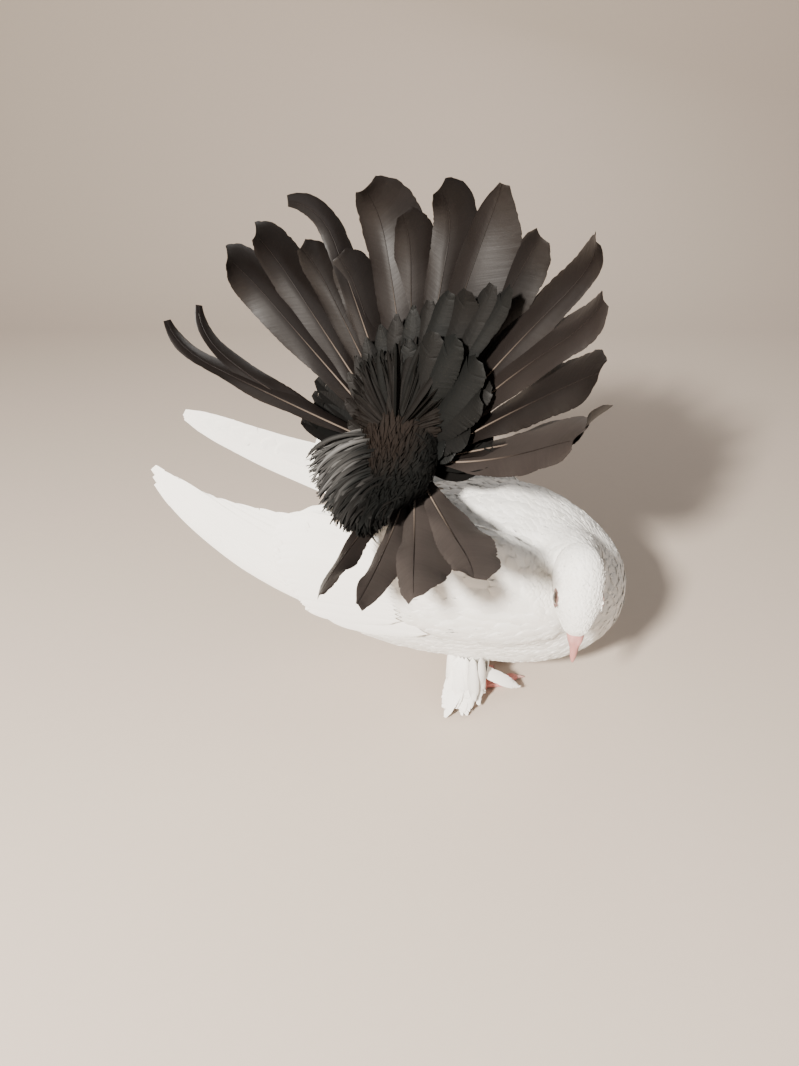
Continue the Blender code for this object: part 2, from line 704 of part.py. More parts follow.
def build_tail_base():
    """The mound of under-tail coverts that fills the funnel, with a stalk down to the rump."""
    axis, up, front = fan_axes()
    slope = math.tan(FAN_OPENING)
    inset = (RING_HALF + GAP) / math.cos(FAN_OPENING)
    outline = [(height, height * slope - inset) for height in MOUND_HEIGHTS]
    outline += MOUND_DOME
    rings = []
    for height, radius in outline:
        rings.append(ring(FAN_ROOT + axis * height, up, front, radius, radius, 20))
    mound = loft("mound", rings)
    stalk_head = FAN_ROOT + axis * MOUND_HEIGHTS[1]
    along = (stalk_head - STALK_FOOT).normalized()
    side = along.cross(Vector((0, 1, 0))).normalized()
    rings = []
    for part in (0.0, 0.5, 1.0):
        radius = STALK_FOOT_RADIUS + (STALK_HEAD_RADIUS - STALK_FOOT_RADIUS) * part
        rings.append(ring(STALK_FOOT.lerp(stalk_head, part), side, along.cross(side), radius, radius, 16))
    stalk = loft("stalk", rings)
    rings = []
    for up_by, front_by, half, height, depth in smooth_stations(HEART, 12):
        rings.append(ring(fan_place(front_by, up_by, height), front, axis, half / 1000, depth / 1000, 16))
    heart = loft("heart", rings)
    return fuse("tail_base", [mound, stalk, heart] + build_under_coverts() + build_loose_down())


def build_under_coverts():
    """Tiers of coverts up the inside of the fan."""
    axis, up, front = fan_axes()
    draw = random.Random(7)
    pieces = []
    for opening, share, count, first, last in COVERT_TIERS:
        for step in range(count):
            turn = first + (last - first) * step / (count - 1) + draw.uniform(-2, 2)
            spread = up * math.cos(math.radians(turn)) + front * math.sin(math.radians(turn))
            reach = share_at(COVERT_REACH, turn) / 1000 * share * draw.uniform(0.96, 1.03)
            tip = FAN_ROOT + fan_direction(math.radians(turn), math.radians(opening)) * reach
            out = COVERT_SPREAD * math.sin(math.radians(opening))
            root = FAN_ROOT + axis * COVERT_HEIGHT + spread * out
            lean = math.copysign(COVERT_TILT, turn - FAN_MIDDLE)
            face = axis + spread * COVERT_FACING
            pieces.append(feather(root, tip, face, COVERT_WIDTH, "covert", COVERT_ROWS,
                                  bow=COVERT_BOW, lean=lean, shaft=False))
    return pieces


def build_loose_down():
    """Loose tufts that hang from the heart of the fan to its left and down."""
    axis = fan_axes()[0]
    pieces = []
    for values in LOOSE_DOWN:
        root, tip = fan_place(*values[:3]), fan_place(*values[3:])
        pieces.append(feather(root, tip, axis, DOWN_WIDTH, "covert", COVERT_ROWS,
                              bow=DOWN_BOW, shaft=False))
    return pieces


def build_wing(side_name, side):
    """The folded wing: a shield over the side, with its flight feathers and coverts in tiers."""
    rings = []
    for x, y, z, tall, thick in smooth_stations(WING_STATIONS, 9):
        rings.append(ring(Vector((x, side * y, z)), Vector((0, 1, 0)), Vector((0, 0, 1)), thick, tall, 14))
    pieces = [loft("shield", rings)]
    outward = Vector((0, side, 0))
    for width, outline, count, sweep, roots, tips in (*WING_TIERS[side_name], WING_COVERTS):
        for step in range(count):
            part = step / (count - 1)
            root = between(roots, part)
            tip = between(tips, part)
            root.y *= side
            tip.y *= side
            long = outline == "wing"
            pieces.append(feather(root, tip, outward, width, outline, PRIMARY_ROWS if long else COVERT_ROWS,
                                  bow=WING_BOW, sweep=side * sweep * (1 - part / 2),
                                  thick=WING_THICK, lean=-side * WING_TILT, shaft=long))
    return fuse("wing_" + side_name, pieces)


def toe(name, origin, turn, length):
    """A toe on the floor, round above and cut flat below, with its claw."""
    along = Vector((math.cos(turn), math.sin(turn), 0))
    side = Vector((-math.sin(turn), math.cos(turn), 0))
    rings = []
    for part, share, height in TOE_PROFILE:
        centre = origin + along * length * part + Vector((0, 0, TOE_RADIUS * height))
        rings.append(ring(centre, side, Vector((0, 0, 1)), TOE_RADIUS * share, TOE_RADIUS * share, 8))
    return loft(name, rings)


def build_foot(name, side):
    origin = Vector((0.0, side * FOOT_Y, 0.0))
    pieces = []
    for turn, length in TOES:
        heading = math.radians(turn) * side + FOOT_YAW[side]
        pieces.append(toe("toe", origin, heading, length))
    rings = []
    for height, radius in FOOT_PAD:
        centre = origin + Vector((0, 0, height))
        rings.append(ring(centre, Vector((1, 0, 0)), Vector((0, 1, 0)), radius, radius, 14))
    pieces.append(loft("pad", rings))
    item = fuse(name, pieces)
    flatten_below(item, 0.0)
    return item


def build_leg(name, side):
    origin = Vector((0.0, side * FOOT_Y, 0.0))
    rings = []
    for height, radius in SHANK:
        centre = origin + Vector((-SHANK_BACK, 0, height))
        rings.append(ring(centre, Vector((1, 0, 0)), Vector((0, 1, 0)), radius, radius, 16))
    pieces = [loft("shank", rings)]
    for index, (heading, reach, height) in enumerate(MUFF):
        turn = math.radians(heading) * -side
        outward = Vector((math.cos(turn), math.sin(turn), 0))
        root = origin + outward * MUFF_SPREAD + Vector((-0.002, 0, MUFF_ROOT + 0.0012 * (index % 2)))
        tip = origin + outward * reach + Vector((0, 0, height))
        pieces.append(feather(root, tip, Vector((0, 0, 1)), MUFF_WIDTH, "covert", COVERT_ROWS,
                              bow=MUFF_BOW, shaft=False))
    return fuse(name, pieces)


def centre_on_floor(items):
    """Move the whole bird so that the middle of its box stands over the origin."""
    corners = [vert.co for item in items for vert in item.data.vertices]
    middle_x = (min(co.x for co in corners) + max(co.x for co in corners)) / 2
    middle_y = (min(co.y for co in corners) + max(co.y for co in corners)) / 2
    for item in items:
        item.data.transform(Matrix.Translation((-middle_x, -middle_y, 0)))


def place(item, finish, parts):
    """Give a finished node its material and list it."""
    item.data.materials.clear()
    item.data.materials.append(paint(item.name, finish))
    WORKSHOP.objects.unlink(item)
    parts.objects.link(item)
    item.data.shade_smooth()
    item.data.set_sharp_from_angle(angle=math.radians(50))


def build():
    parts = new_collection("fantail_pigeon")
    torso = build_torso()
    neck = build_neck()
    head = build_head()
    make_room(head, torso)
    make_room(neck, torso, head)
    nodes = [(torso, "white"), (neck, "white"), (head, "white")]
    for name, side in (("eye_right", 1), ("eye_left", -1)):
        eye = build_eye(name, side)
        make_room(head, eye)
        nodes.append((eye, "eye"))
    nodes.append((build_bill("bill_upper", True), "horn"))
    nodes.append((build_bill("bill_lower", False), "horn"))
    base = build_tail_base()
    make_room(base, torso)
    nodes.append((base, "black"))
    for name, start, end in FAN_GROUPS:
        group = build_fan_group(name, start, end)
        nodes.append((group, "black"))
    for name, side in (("right", -1), ("left", 1)):
        wing = build_wing(name, side)
        make_room(wing, torso, neck)
        leg = build_leg("leg_" + name, side)
        make_room(leg, torso)
        foot = build_foot("foot_" + name, side)
        make_room(foot, leg)
        nodes += [(wing, "white"), (leg, "white"), (foot, "skin")]
    centre_on_floor([item for item, finish in nodes])
    for item, finish in nodes:
        place(item, finish, parts)


clear_scene()
WORKSHOP = new_collection("workshop")
build()
bpy.data.collections.remove(WORKSHOP)
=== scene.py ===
import math

import bmesh
import bpy
import numpy as np
from bpy.props import FloatProperty, FloatVectorProperty, IntProperty, PointerProperty
from mathutils import Matrix, Vector
from mathutils.bvhtree import BVHTree
from mathutils.kdtree import KDTree


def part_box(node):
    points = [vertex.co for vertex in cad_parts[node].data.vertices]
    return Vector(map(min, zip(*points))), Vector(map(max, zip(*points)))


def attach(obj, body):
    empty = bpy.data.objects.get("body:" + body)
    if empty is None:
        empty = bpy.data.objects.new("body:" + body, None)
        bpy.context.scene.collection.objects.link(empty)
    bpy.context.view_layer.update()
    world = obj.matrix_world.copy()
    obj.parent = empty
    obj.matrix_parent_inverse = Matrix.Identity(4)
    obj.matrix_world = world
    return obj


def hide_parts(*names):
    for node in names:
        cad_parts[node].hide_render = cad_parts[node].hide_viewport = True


bl_info = {
    "name": "Fantail Pigeon",
    "version": (1, 0, 0),
    "blender": (4, 5, 0),
    "location": "3D View > Sidebar > Pigeon",
    "description": "Skin, feathers, bill, eyes and feet of a standing fantail pigeon",
    "category": "Add Mesh",
}

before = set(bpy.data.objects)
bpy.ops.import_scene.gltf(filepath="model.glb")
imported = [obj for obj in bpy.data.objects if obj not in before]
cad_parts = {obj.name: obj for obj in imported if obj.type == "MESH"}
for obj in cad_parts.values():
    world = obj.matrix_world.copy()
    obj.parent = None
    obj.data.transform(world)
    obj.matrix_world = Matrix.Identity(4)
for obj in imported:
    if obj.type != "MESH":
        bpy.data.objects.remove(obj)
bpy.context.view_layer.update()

# Head: where the bill begins, the way it points, and the side that the crown is on
BILL_BASE = np.array((0.0506, -0.085, 0.0889))
BILL_AXIS = np.array((-0.05, -0.30, -0.953))
CROWN_SIDE = np.array((0.02, -0.84, 0.53))
EYE_PLACE = (0.0205, 0.0091, -0.0012)
NECK_FOOT = (0.028, 0.0, -0.055)

# Middle of the head
HEAD_MIDDLE = (0.023, 0, -0.004)

# Torso: middle and pitch
TORSO_MID = np.array((0.012, 0.0, 0.085))
TORSO_PITCH = math.radians(18.0)

# Tail: a wide funnel round its own axis, cocked up and turned to the right. Feathers stand closer at
# the root by the crowding, and lean from the middle one by the tilt, in degrees
FAN_ROOT = np.array((-0.038, 0.004, 0.153))
FAN_AXIS = np.array((-0.23, -0.69, 0.69))
FAN_OPENING = math.radians(44.8)
FAN_INNER = 0.022
FAN_MIDDLE = 38.0
FAN_TILT = 10.0
FAN_CROWDING = 0.92

# Tail feathers: turn round the fan in degrees, length and width in mm, then in degrees the bow of the
# quill, the curl of the tip to the viewer's side, its hook in the fan, the sweep and the twist, and tone
# Tone near 1 marks the lower feathers, painted paler grey-brown where the light falls on their faces
TAIL_FEATHERS = (
    (-80.0, 166, 15, -10, 15, -34, -6, 12, 0.50, "narrow"), (-71.5, 156, 13, -8, 15, -38, -18, 10, 0.45, "narrow"),
    (-56.2, 160, 31, -8, 42, 26, -3, 8, 0.35, "blunt"), (-46.2, 160, 28, -6, 44, 24, -2, 8, 0.30, "blunt"),
    (-37.0, 142, 22, -4, 26, 20, 0, -10, 0.05, "blunt"), (-34.5, 165, 17, -6, 14, 66, 0, 14, 0.25, "narrow"),
    (-27.0, 130, 27, 0, 10, 20, 0, 8, 0.10, "blunt"), (-14.0, 159, 36, -10, 48, 26, 4, -18, 0.50, "blunt"),
    (-3.5, 145, 25, 0, 25, 14, 0, 10, 0.40, "blunt"), (6.8, 158, 27, -8, 52, 38, 0, 14, 0.30, "blunt"),
    (23.7, 169, 37, -8, 30, -6, -3, -14, 0.40, "pointed"), (38.0, 156, 29, 0, 12, -10, 0, 0, 0.0, "blunt"),
    (52.6, 176, 26, -10, 50, -14, 3, 12, 0.40, "narrow"), (64.8, 166, 30, -8, 22, 10, -3, -4, 0.75, "blunt"),
    (81.3, 157, 31, -4, 10, -12, 0, 8, 0.10, "blunt"), (91.0, 154, 23, 0, 48, -8, 0, -10, 0.30, "blunt"),
    (98.2, 147, 33, 6, 6, -16, 5, 8, 0.85, "blunt"), (140.5, 162, 27, 8, -10, -8, 0, -10, 1.0, "round"),
    (155.0, 158, 28, 6, -10, 0, 0, 10, 1.0, "round"), (168.5, 156, 18, 4, 0, 0, -3, 12, 0.9, "pointed"),
    (179.0, 151, 11, 4, 0, 5, 4, 10, 0.8, "narrow"),
)

# Outlines of feathers: share of the greatest width along the quill
OUTLINES = {
    "blunt": ((0.0, 0.10), (0.12, 0.26), (0.30, 0.58), (0.52, 0.86), (0.72, 1.0), (0.87, 0.99),
              (0.94, 0.84), (0.98, 0.58), (1.0, 0.24)),
    "pointed": ((0.0, 0.10), (0.12, 0.26), (0.30, 0.62), (0.55, 0.92), (0.72, 1.0), (0.86, 0.80), (0.95, 0.42),
                (1.0, 0.05)),
    "muff": ((0.0, 0.75), (0.3, 0.95), (0.6, 1.0), (0.82, 0.78), (0.94, 0.42), (1.0, 0.12)),
    "round": ((0.0, 0.15), (0.15, 0.42), (0.35, 0.74), (0.58, 0.95), (0.76, 1.0), (0.88, 0.90), (0.95, 0.66),
              (1.0, 0.22)),
    "narrow": ((0.0, 0.18), (0.12, 0.45), (0.35, 0.85), (0.60, 1.0), (0.80, 0.95), (0.94, 0.75), (1.0, 0.25)),
    "covert": ((0.0, 0.25), (0.25, 0.75), (0.55, 1.0), (0.80, 0.92), (0.94, 0.6), (1.0, 0.18)),
    "blade": ((0.0, 0.5), (0.3, 0.9), (0.6, 1.0), (0.85, 0.8), (0.96, 0.5), (1.0, 0.15)),
    "body": ((0.0, 0.35), (0.2, 0.75), (0.5, 1.0), (0.75, 0.95), (0.92, 0.62), (1.0, 0.2)),
}

# How far the down over the coverts reaches at each turn round the fan, in mm
COVERT_REACH = (
    (-95, 44), (-70, 60), (-47, 72), (-31, 82), (-10, 93), (8, 105), (23, 117), (43, 137), (47, 118), (52, 97),
    (68, 87), (78, 66), (95, 46),
)
# Under-tail coverts from the hindmost to the foremost: turn, reach and width in mm, opening of their
# funnel, sweep and curl
COVERTS = (
    (-91, 44, 10, 40, 8, 0), (-77, 53, 10, 40, -6, 0), (-63, 62, 11, 40, 6, 8), (-48, 72, 11, 40, -4, 0),
    (-38, 78, 12, 40, 5, 0), (-27, 85, 13, 40, -5, 0), (-17, 90, 14, 40, 4, 10), (-7, 95, 14, 40, -5, 0),
    (2, 100, 15, 40, 5, 0), (10, 104, 16, 40, 5, 10), (43, 134, 15, 40, -5, 20), (36, 128, 17, 40, 6, 10),
    (20, 113, 18, 39, -6, 15), (63, 90, 18, 40, 8, 0), (93, 53, 18, 40, -6, 0), (82, 68, 20, 39, 6, 10),
    (29, 120, 20, 37.5, 5, 30), (-55, 58, 12, 35, 6, 0), (-33, 66, 13, 35, 8, 0), (-15, 76, 14, 35, -6, 0),
    (2, 84, 16, 35, 5, 0), (69, 86, 27, 36, -8, 10), (52, 97, 25, 35, 8, 15), (37, 99, 21, 33, -6, 10),
    (20, 94, 19, 33, 6, 5), (88, 50, 20, 33, 5, 0), (-40, 52, 13, 31, -5, 0), (-8, 64, 16, 30, 5, 0),
)
# The soft heart of the fan, from its foot to its top, in the fan's own frame in mm:
# up, front, half as wide, height on the axis, half as thick
HEART = (
    (-57, 4, 3, 67, 2.5), (-50, 4, 8, 61, 4.5), (-40, 5, 12, 53, 6), (-28, 6, 16, 44, 8),
    (-14, 3, 20, 39, 9), (0, -1, 22, 36, 9), (12, -4, 20, 36, 8), (22, -7, 14, 36, 6.5),
    (29, -8, 5, 38, 3),
)
# Loose down on the heart's left: root and tip, each as front, up and height in mm
LOOSE_DOWN = (
    (-9, 1, 36, -50, -14, 37), (-9, -7, 38, -45, -27, 39), (-7, -16, 41, -36, -40, 43),
    (-4, -26, 45, -26, -49, 48), (0, -36, 52, -14, -59, 57), (4, -46, 59, 0, -64, 67), (10, -46, 60, 10, -60, 66),
)

# Shield of the folded wing from front to back, in the bird's frame: middle, half its height, half its
# thickness
WING_SHIELD = (
    (0.060, 0.046, 0.083, 0.010, 0.007), (0.045, 0.050, 0.088, 0.026, 0.014),
    (0.015, 0.051, 0.096, 0.038, 0.0175), (-0.020, 0.050, 0.103, 0.040, 0.0180),
    (-0.050, 0.0495, 0.109, 0.036, 0.0160), (-0.070, 0.049, 0.113, 0.028, 0.0120),
    (-0.082, 0.048, 0.115, 0.016, 0.0060),
)


class Leaves:
    """Thin closed leaves and tubes, gathered into one mesh."""

    def __init__(self):
        self.points = []
        self.quads = []
        self.vane = []
        self.bake = []
        self.tone = []
        self.dark = []
        self.count = 0

    def add(self, grid, thick, vane, bake, tone, dark):
        """Leaves of like grids: points (n, rows, columns, 3), and for each its two maps and values."""
        n, rows, columns = grid.shape[:3]
        normal = unit(np.cross(np.gradient(grid, axis=1), np.gradient(grid, axis=2)))
        depth = np.zeros((rows, columns, 1))
        depth[1:-1, 1:-1] = thick / 2
        upper = (grid + normal * depth).reshape(n, -1, 3)
        lower = (grid - normal * depth)[:, 1:-1, 1:-1].reshape(n, -1, 3)
        each = upper.shape[1] + lower.shape[1]
        self.points.append(np.concatenate([upper, lower], 1).reshape(-1, 3))
        faces = leaf_faces(rows, columns)
        start = self.count + each * np.arange(n)
        self.quads.append((faces[None] + start[:, None, None]).reshape(-1, 4))
        for store, values in ((self.vane, vane), (self.bake, bake)):
            store.append(both_sides(values, n, rows, columns, 2))
        for store, values in ((self.tone, tone), (self.dark, dark)):
            values = np.reshape(values, (-1, 1, 1)) if np.ndim(values) < 2 else values
            store.append(both_sides(values, n, rows, columns))
        self.count += each * n

    def tube(self, grid, vane, bake, tone, dark):
        """A closed tube over rows of rings whose first and last points lie together."""
        rows, columns = grid.shape[:2]
        around = columns - 1
        points = grid[:, :around].reshape(-1, 3)
        index = np.arange(rows * around).reshape(rows, around)
        after = np.roll(index, -1, axis=1)
        faces = np.stack([index[:-1], after[:-1], after[1:], index[1:]], -1).reshape(-1, 4)
        ends = np.array([grid[0, :around].mean(0), grid[-1, :around].mean(0)])
        foot, tip = rows * around, rows * around + 1
        caps = []
        for step in range(0, around, 2):
            middle, last = (step + 1) % around, (step + 2) % around
            caps.append((foot, index[0, last], index[0, middle], index[0, step]))
            caps.append((tip, index[-1, step], index[-1, middle], index[-1, last]))
        self.points.append(np.concatenate([points, ends]))
        self.quads.append(np.concatenate([faces, np.array(caps)]) + self.count)
        for store, values in ((self.vane, vane), (self.bake, bake)):
            flat = values[:, :around].reshape(-1, 2)
            store.append(np.concatenate([flat, flat[:1], flat[-1:]]))
        total = rows * around + 2
        self.tone.append(np.full(total, tone))
        self.dark.append(np.full(total, dark))
        self.count += total

    def build(self, name, material):
        quads = np.concatenate(self.quads)
        item = mesh_object(name, np.concatenate(self.points), quads, material)
        corners = quads.ravel()
        for layer, values in (("Vane", self.vane), ("OFBake", self.bake)):
            uv = item.data.uv_layers.new(name=layer)
            uv.uv.foreach_set("vector", np.concatenate(values)[corners].astype(np.float32).ravel())
        for layer, values in (("tone", self.tone), ("dark", self.dark)):
            attribute = item.data.attributes.new(layer, "FLOAT", "POINT")
            attribute.data.foreach_set("value", np.concatenate(values).astype(np.float32))
        item.data.shade_smooth()
        item.data.set_sharp_from_angle(angle=math.radians(70))
        return item


def unit(vectors):
    return vectors / (np.linalg.norm(vectors, axis=-1, keepdims=True) + 1e-12)


def both_sides(values, n, rows, columns, *size):
    """Values of the upper side's points, then of the lower side's, which has no border of its own."""
    values = np.broadcast_to(values, (n, rows, columns, *size))
    inner = values[:, 1:-1, 1:-1].reshape(n, -1, *size)
    return np.concatenate([values.reshape(n, -1, *size), inner], 1).reshape(-1, *size)


def leaf_faces(rows, columns):
    """Faces of a leaf whose upper and lower side share their border."""
    upper = np.arange(rows * columns).reshape(rows, columns)
    lower = upper.copy()
    inner = (rows - 2) * (columns - 2)
    lower[1:-1, 1:-1] = rows * columns + np.arange(inner).reshape(rows - 2, columns - 2)
    sides = []
    for layer in (upper, lower):
        cells = np.stack([layer[:-1, :-1], layer[1:, :-1], layer[1:, 1:], layer[:-1, 1:]], -1)
        sides.append(cells.reshape(-1, 4))
    return np.concatenate([sides[0], sides[1][:, ::-1]])


def place_object(name, data):
    item = bpy.data.objects.new(name, data)
    bpy.context.scene.collection.objects.link(item)
    return item


def mesh_object(name, points, faces, material):
    mesh = bpy.data.meshes.new(name)
    mesh.from_pydata(points.tolist(), [], faces.tolist())
    mesh.materials.append(material)
    return place_object(name, mesh)


def object_from(bm, name, material):
    """An object from a bmesh, its faces turned outwards and smooth."""
    bmesh.ops.recalc_face_normals(bm, faces=bm.faces[:])
    mesh = bpy.data.meshes.new(name)
    bm.to_mesh(mesh)
    bm.free()
    mesh.materials.append(material)
    mesh.shade_smooth()
    return place_object(name, mesh)


def join_form(target, piece, outward=True):
    """Add a closed form to a bmesh and let it go."""
    if outward:
        bmesh.ops.recalc_face_normals(piece, faces=piece.faces[:])
    mesh = bpy.data.meshes.new("form")
    piece.to_mesh(mesh)
    piece.free()
    target.from_mesh(mesh)
    bpy.data.meshes.remove(mesh)


def places_of(verts):
    return np.array([vert.co for vert in verts])


def normals_of(verts):
    return np.array([vert.normal for vert in verts])


def move_to(verts, places):
    for vert, place in zip(verts, places):
        vert.co = place


def claim(item, slot, *nodes):
    """Put a finished piece in the model: it rides on the body and stands for its nodes."""
    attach(item, "root")
    if nodes:
        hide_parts(*nodes)


# Axes of the bird's parts


def head_axes():
    forward = unit(BILL_AXIS)
    crown = unit(CROWN_SIDE - forward * CROWN_SIDE.dot(forward))
    return forward, np.cross(forward, crown), crown


def head_offset(back, side, up):
    """A place on the head: how far behind the bill's base, to the bird's right and to the crown."""
    forward, right, crown = head_axes()
    return BILL_BASE - forward * back + right * side + crown * up


def bird_shift():
    """From the bird's own frame, between its feet, to the model's."""
    low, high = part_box("eye_right")
    return np.array((low + high) / 2) - head_offset(*EYE_PLACE)


SHIFT = bird_shift()


def head_point(back, side, up):
    return head_offset(back, side, up) + SHIFT


def bird_point(x, y, z):
    return np.array((x, y, z)) + SHIFT


def torso_axes():
    forward = np.array((math.cos(TORSO_PITCH), 0, -math.sin(TORSO_PITCH)))
    return forward, np.array((0.0, 1.0, 0.0)), np.array((math.sin(TORSO_PITCH), 0, math.cos(TORSO_PITCH)))


def fan_axes():
    axis = unit(FAN_AXIS)
    up = unit(np.array((0, 0, 1.0)) - axis * axis[2])
    return axis, up, np.cross(up, axis)


def fan_spread(turn):
    """Unit vector across the fan's axis, turned in degrees from its top towards the bird's front."""
    _, up, front = fan_axes()
    return up * math.cos(math.radians(turn)) + front * math.sin(math.radians(turn))


def fan_direction(turn, opening):
    """Unit vector out along the fan."""
    return fan_axes()[0] * math.cos(opening) + fan_spread(turn) * math.sin(opening)


FAN_FOOT = FAN_ROOT + SHIFT


# Quills and vanes


def quill(length, bow=0.0, curl=0.0, hook=0.0, sweep=0.0, twist=0.0, curl_from=0.68):
    """Points, side vectors and face vectors along a quill whose ends lie on +X.

    It bows to its face, sweeps to its side and twists, and its last part curls and hooks."""
    fine = 64
    part = np.linspace(0, 1, fine + 1)
    late = np.clip((part - curl_from) / (1 - curl_from), 0, None) ** 1.5
    tilt = np.radians(bow * (2 * part - 1) + curl * late)
    turn = np.radians(sweep * (2 * part - 1) + hook * late)
    along = np.stack([np.cos(tilt) * np.cos(turn), np.cos(tilt) * np.sin(turn), np.sin(tilt)], 1)
    side = np.stack([-np.sin(turn), np.cos(turn), np.zeros(fine + 1)], 1)
    face = np.cross(along, side)
    roll = np.radians(twist * part)[:, None]
    side, face = side * np.cos(roll) + face * np.sin(roll), face * np.cos(roll) - side * np.sin(roll)
    line = np.concatenate([np.zeros((1, 3)), np.cumsum((along[1:] + along[:-1]) / 2, axis=0) / fine])
    chord = Vector(line[-1])
    straight = np.array(chord.rotation_difference(Vector((1, 0, 0))).to_matrix())
    return line @ straight.T * (length / chord.length), side @ straight.T, face @ straight.T


class Spine:
    """A quill set between its root and tip, with its vane's side and face along it."""

    def __init__(self, root, tip, face, lean=0.0, **bends):
        root, tip, face = (np.array(v, float) for v in (root, tip, face))
        along = unit(tip - root)
        face = unit(face - along * face.dot(along))
        lean = math.radians(lean)
        face = face * math.cos(lean) + np.cross(face, along) * math.sin(lean)
        axes = np.stack([along, np.cross(face, along), face])
        self.length = float(np.linalg.norm(tip - root))
        line, side, normal = quill(self.length, **bends)
        self.line = root + line @ axes
        self.side = side @ axes
        self.face = normal @ axes
        self.parts = np.linspace(0, 1, len(line))

    def at(self, part, rows):
        """Values of the line, side or face at parts of the length, of any shape."""
        flat = np.clip(part, 0, 1).ravel()
        values = np.stack([np.interp(flat, self.parts, rows[:, i]) for i in range(3)], -1)
        return values.reshape(*part.shape, 3)


# How far the outlines' corners are rounded, as a share of the length
CORNER = 0.03


def share_along(outline, part):
    """Width along a feather, with the outline's corners rounded."""
    places, widths = np.array(OUTLINES[outline]).T
    return sum(np.interp(np.clip(part + offset, 0, 1), places, widths) for offset in (-CORNER, 0.0, CORNER)) / 3


# How far the barbs lean to the tip, where a rim of painted shade begins near the tip, and over which share of the
# length it fills in
BARB_SLANT = 0.9
RIM_SHADE_START = 0.93
RIM_SHADE_FADE = 0.03


def barbed_vane(leaves, spine, width, outline, draw, splits=6, ragged=0.06, camber=0.12, inner=0.5, rows=34,
                columns=5, thick=0.0004, cell=(0, 0, 1, 1), tone=0.5, dark=0.0, flare=0.0012, loose=0.0,
                ripple=0.0, gap=0.35, rim_shade=0.0):
    """A vane of barbs on both sides of its quill, parted by splits into groups that stand a little apart.

    Its barbs differ in height by flare and loose, its edge waves by ripple, and gap is the splits' width."""
    reach = np.linspace(0, 1, columns)[None, :]
    phase = draw.uniform(0, 2 * math.pi)
    for side, share in ((1, inner), (-1, 1 - inner)):
        cuts = np.sort(0.4 + 0.57 * draw.beta(4.0, 1.0, splits))
        edges = np.concatenate([[0.0], cuts[np.diff(cuts, prepend=0) > 0.03], [1.0]])
        for start, end in zip(edges, edges[1:]):
            count = max(4, int(math.ceil((end - start) * rows)) + 1)
            root = np.linspace(start, end, count)[:, None]
            drift = draw.uniform(-1, 1) * gap * min(0.04, end - start)
            pull = BARB_SLANT * width * share / spine.length
            along = root + reach * (pull * np.sqrt(np.clip(1 - root, 0, 1)) + drift * (root < 1))
            along = np.clip(along, 0, 1)
            knots = draw.uniform(0, 1, max(3, count // 9)) ** 2
            waves = np.interp(np.linspace(0, 1, count), np.linspace(0, 1, len(knots)), knots)[:, None]
            notch = waves * 0.8 + draw.uniform(0, 1, (count, 1)) ** 4 * 0.35
            half = width * share * share_along(outline, along) * (1 - ragged * notch * reach ** 2)
            lift = draw.normal(0, flare) * reach ** 2
            wave = ripple * np.sin(along * 9 + phase + side * 1.3) * reach
            wave = wave + ripple * 0.5 * np.sin(along * 21 + phase * 2) * reach ** 2
            shaggy = loose * draw.normal(0, 1, (count, 1)) * reach ** 2
            height = lift + wave + shaggy - camber * half * reach ** 1.5
            place = spine.at(along, spine.line)
            place = place + spine.at(along, spine.side) * (side * half * reach)[..., None]
            place = place + spine.at(along, spine.face) * height[..., None]
            u = 0.5 + side * reach * 0.5 + 0 * along
            v = root + 0 * reach
            vane = np.stack([u, v * spine.length], -1)
            bake = np.stack([cell[0] + cell[2] * (0.06 + 0.88 * u), cell[1] + cell[3] * (0.03 + 0.94 * v)], -1)
            # Painted shade: a band of the wing shafts' cream at the vane's tip, where the coverts' edge turns from
            # the light
            shade = dark + rim_shade * np.clip((along - RIM_SHADE_START) / RIM_SHADE_FADE, 0, 1)
            if side < 0:
                place, vane, bake, shade = (grid[:, ::-1] for grid in (place, vane, bake, shade))
            leaves.add(place[None], thick, vane[None], bake[None], tone, shade[None])


# Rings of a shaft, how far along the quill it ends, how much it tapers, and how far it stands out
SHAFT_ROWS = 26
SHAFT_END = 0.97
SHAFT_TAPER = 0.82
SHAFT_RISE = 0.3


def shaft_tube(leaves, spine, thick, cell, tone=0.5, dark=0.0):
    """The quill's own shaft, tapering to the tip."""
    part = np.linspace(0.0, SHAFT_END, SHAFT_ROWS)
    radius = thick * (1 - SHAFT_TAPER * part / SHAFT_END)
    turn = np.linspace(0, 2 * math.pi, 9)
    line = spine.at(part, spine.line)
    side = spine.at(part, spine.side)
    face = spine.at(part, spine.face)
    ring_side = (radius[:, None] * np.cos(turn))[..., None] * side[:, None]
    ring_face = (radius[:, None] * (np.sin(turn) + SHAFT_RISE))[..., None] * face[:, None]
    grid = line[:, None] + ring_side + ring_face
    u = np.broadcast_to(turn / (2 * math.pi), (len(part), len(turn)))
    v = np.broadcast_to(part[:, None], (len(part), len(turn)))
    bake = np.stack([cell[0] + cell[2] * (0.05 + 0.9 * u), cell[1] + cell[3] * (0.03 + 0.94 * v)], -1)
    leaves.tube(grid, np.stack([u, v], -1), bake, tone, dark)


def atlas_cell(index, total):
    """The place of one feather in a square map shared by all of a piece's feathers."""
    across = int(math.ceil(math.sqrt(total)))
    return index % across / across, index // across / across, 1 / across, 1 / across


# Materials


class Value:
    """A socket whose arithmetic adds Math nodes."""

    def __init__(self, maker, socket):
        self.maker = maker
        self.socket = socket

    def __add__(self, other):
        return self.maker.math("ADD", self, other)

    def __radd__(self, other):
        return self.maker.math("ADD", other, self)

    def __sub__(self, other):
        return self.maker.math("SUBTRACT", self, other)

    def __rsub__(self, other):
        return self.maker.math("SUBTRACT", other, self)

    def __mul__(self, other):
        return self.maker.math("MULTIPLY", self, other)

    def __rmul__(self, other):
        return self.maker.math("MULTIPLY", other, self)


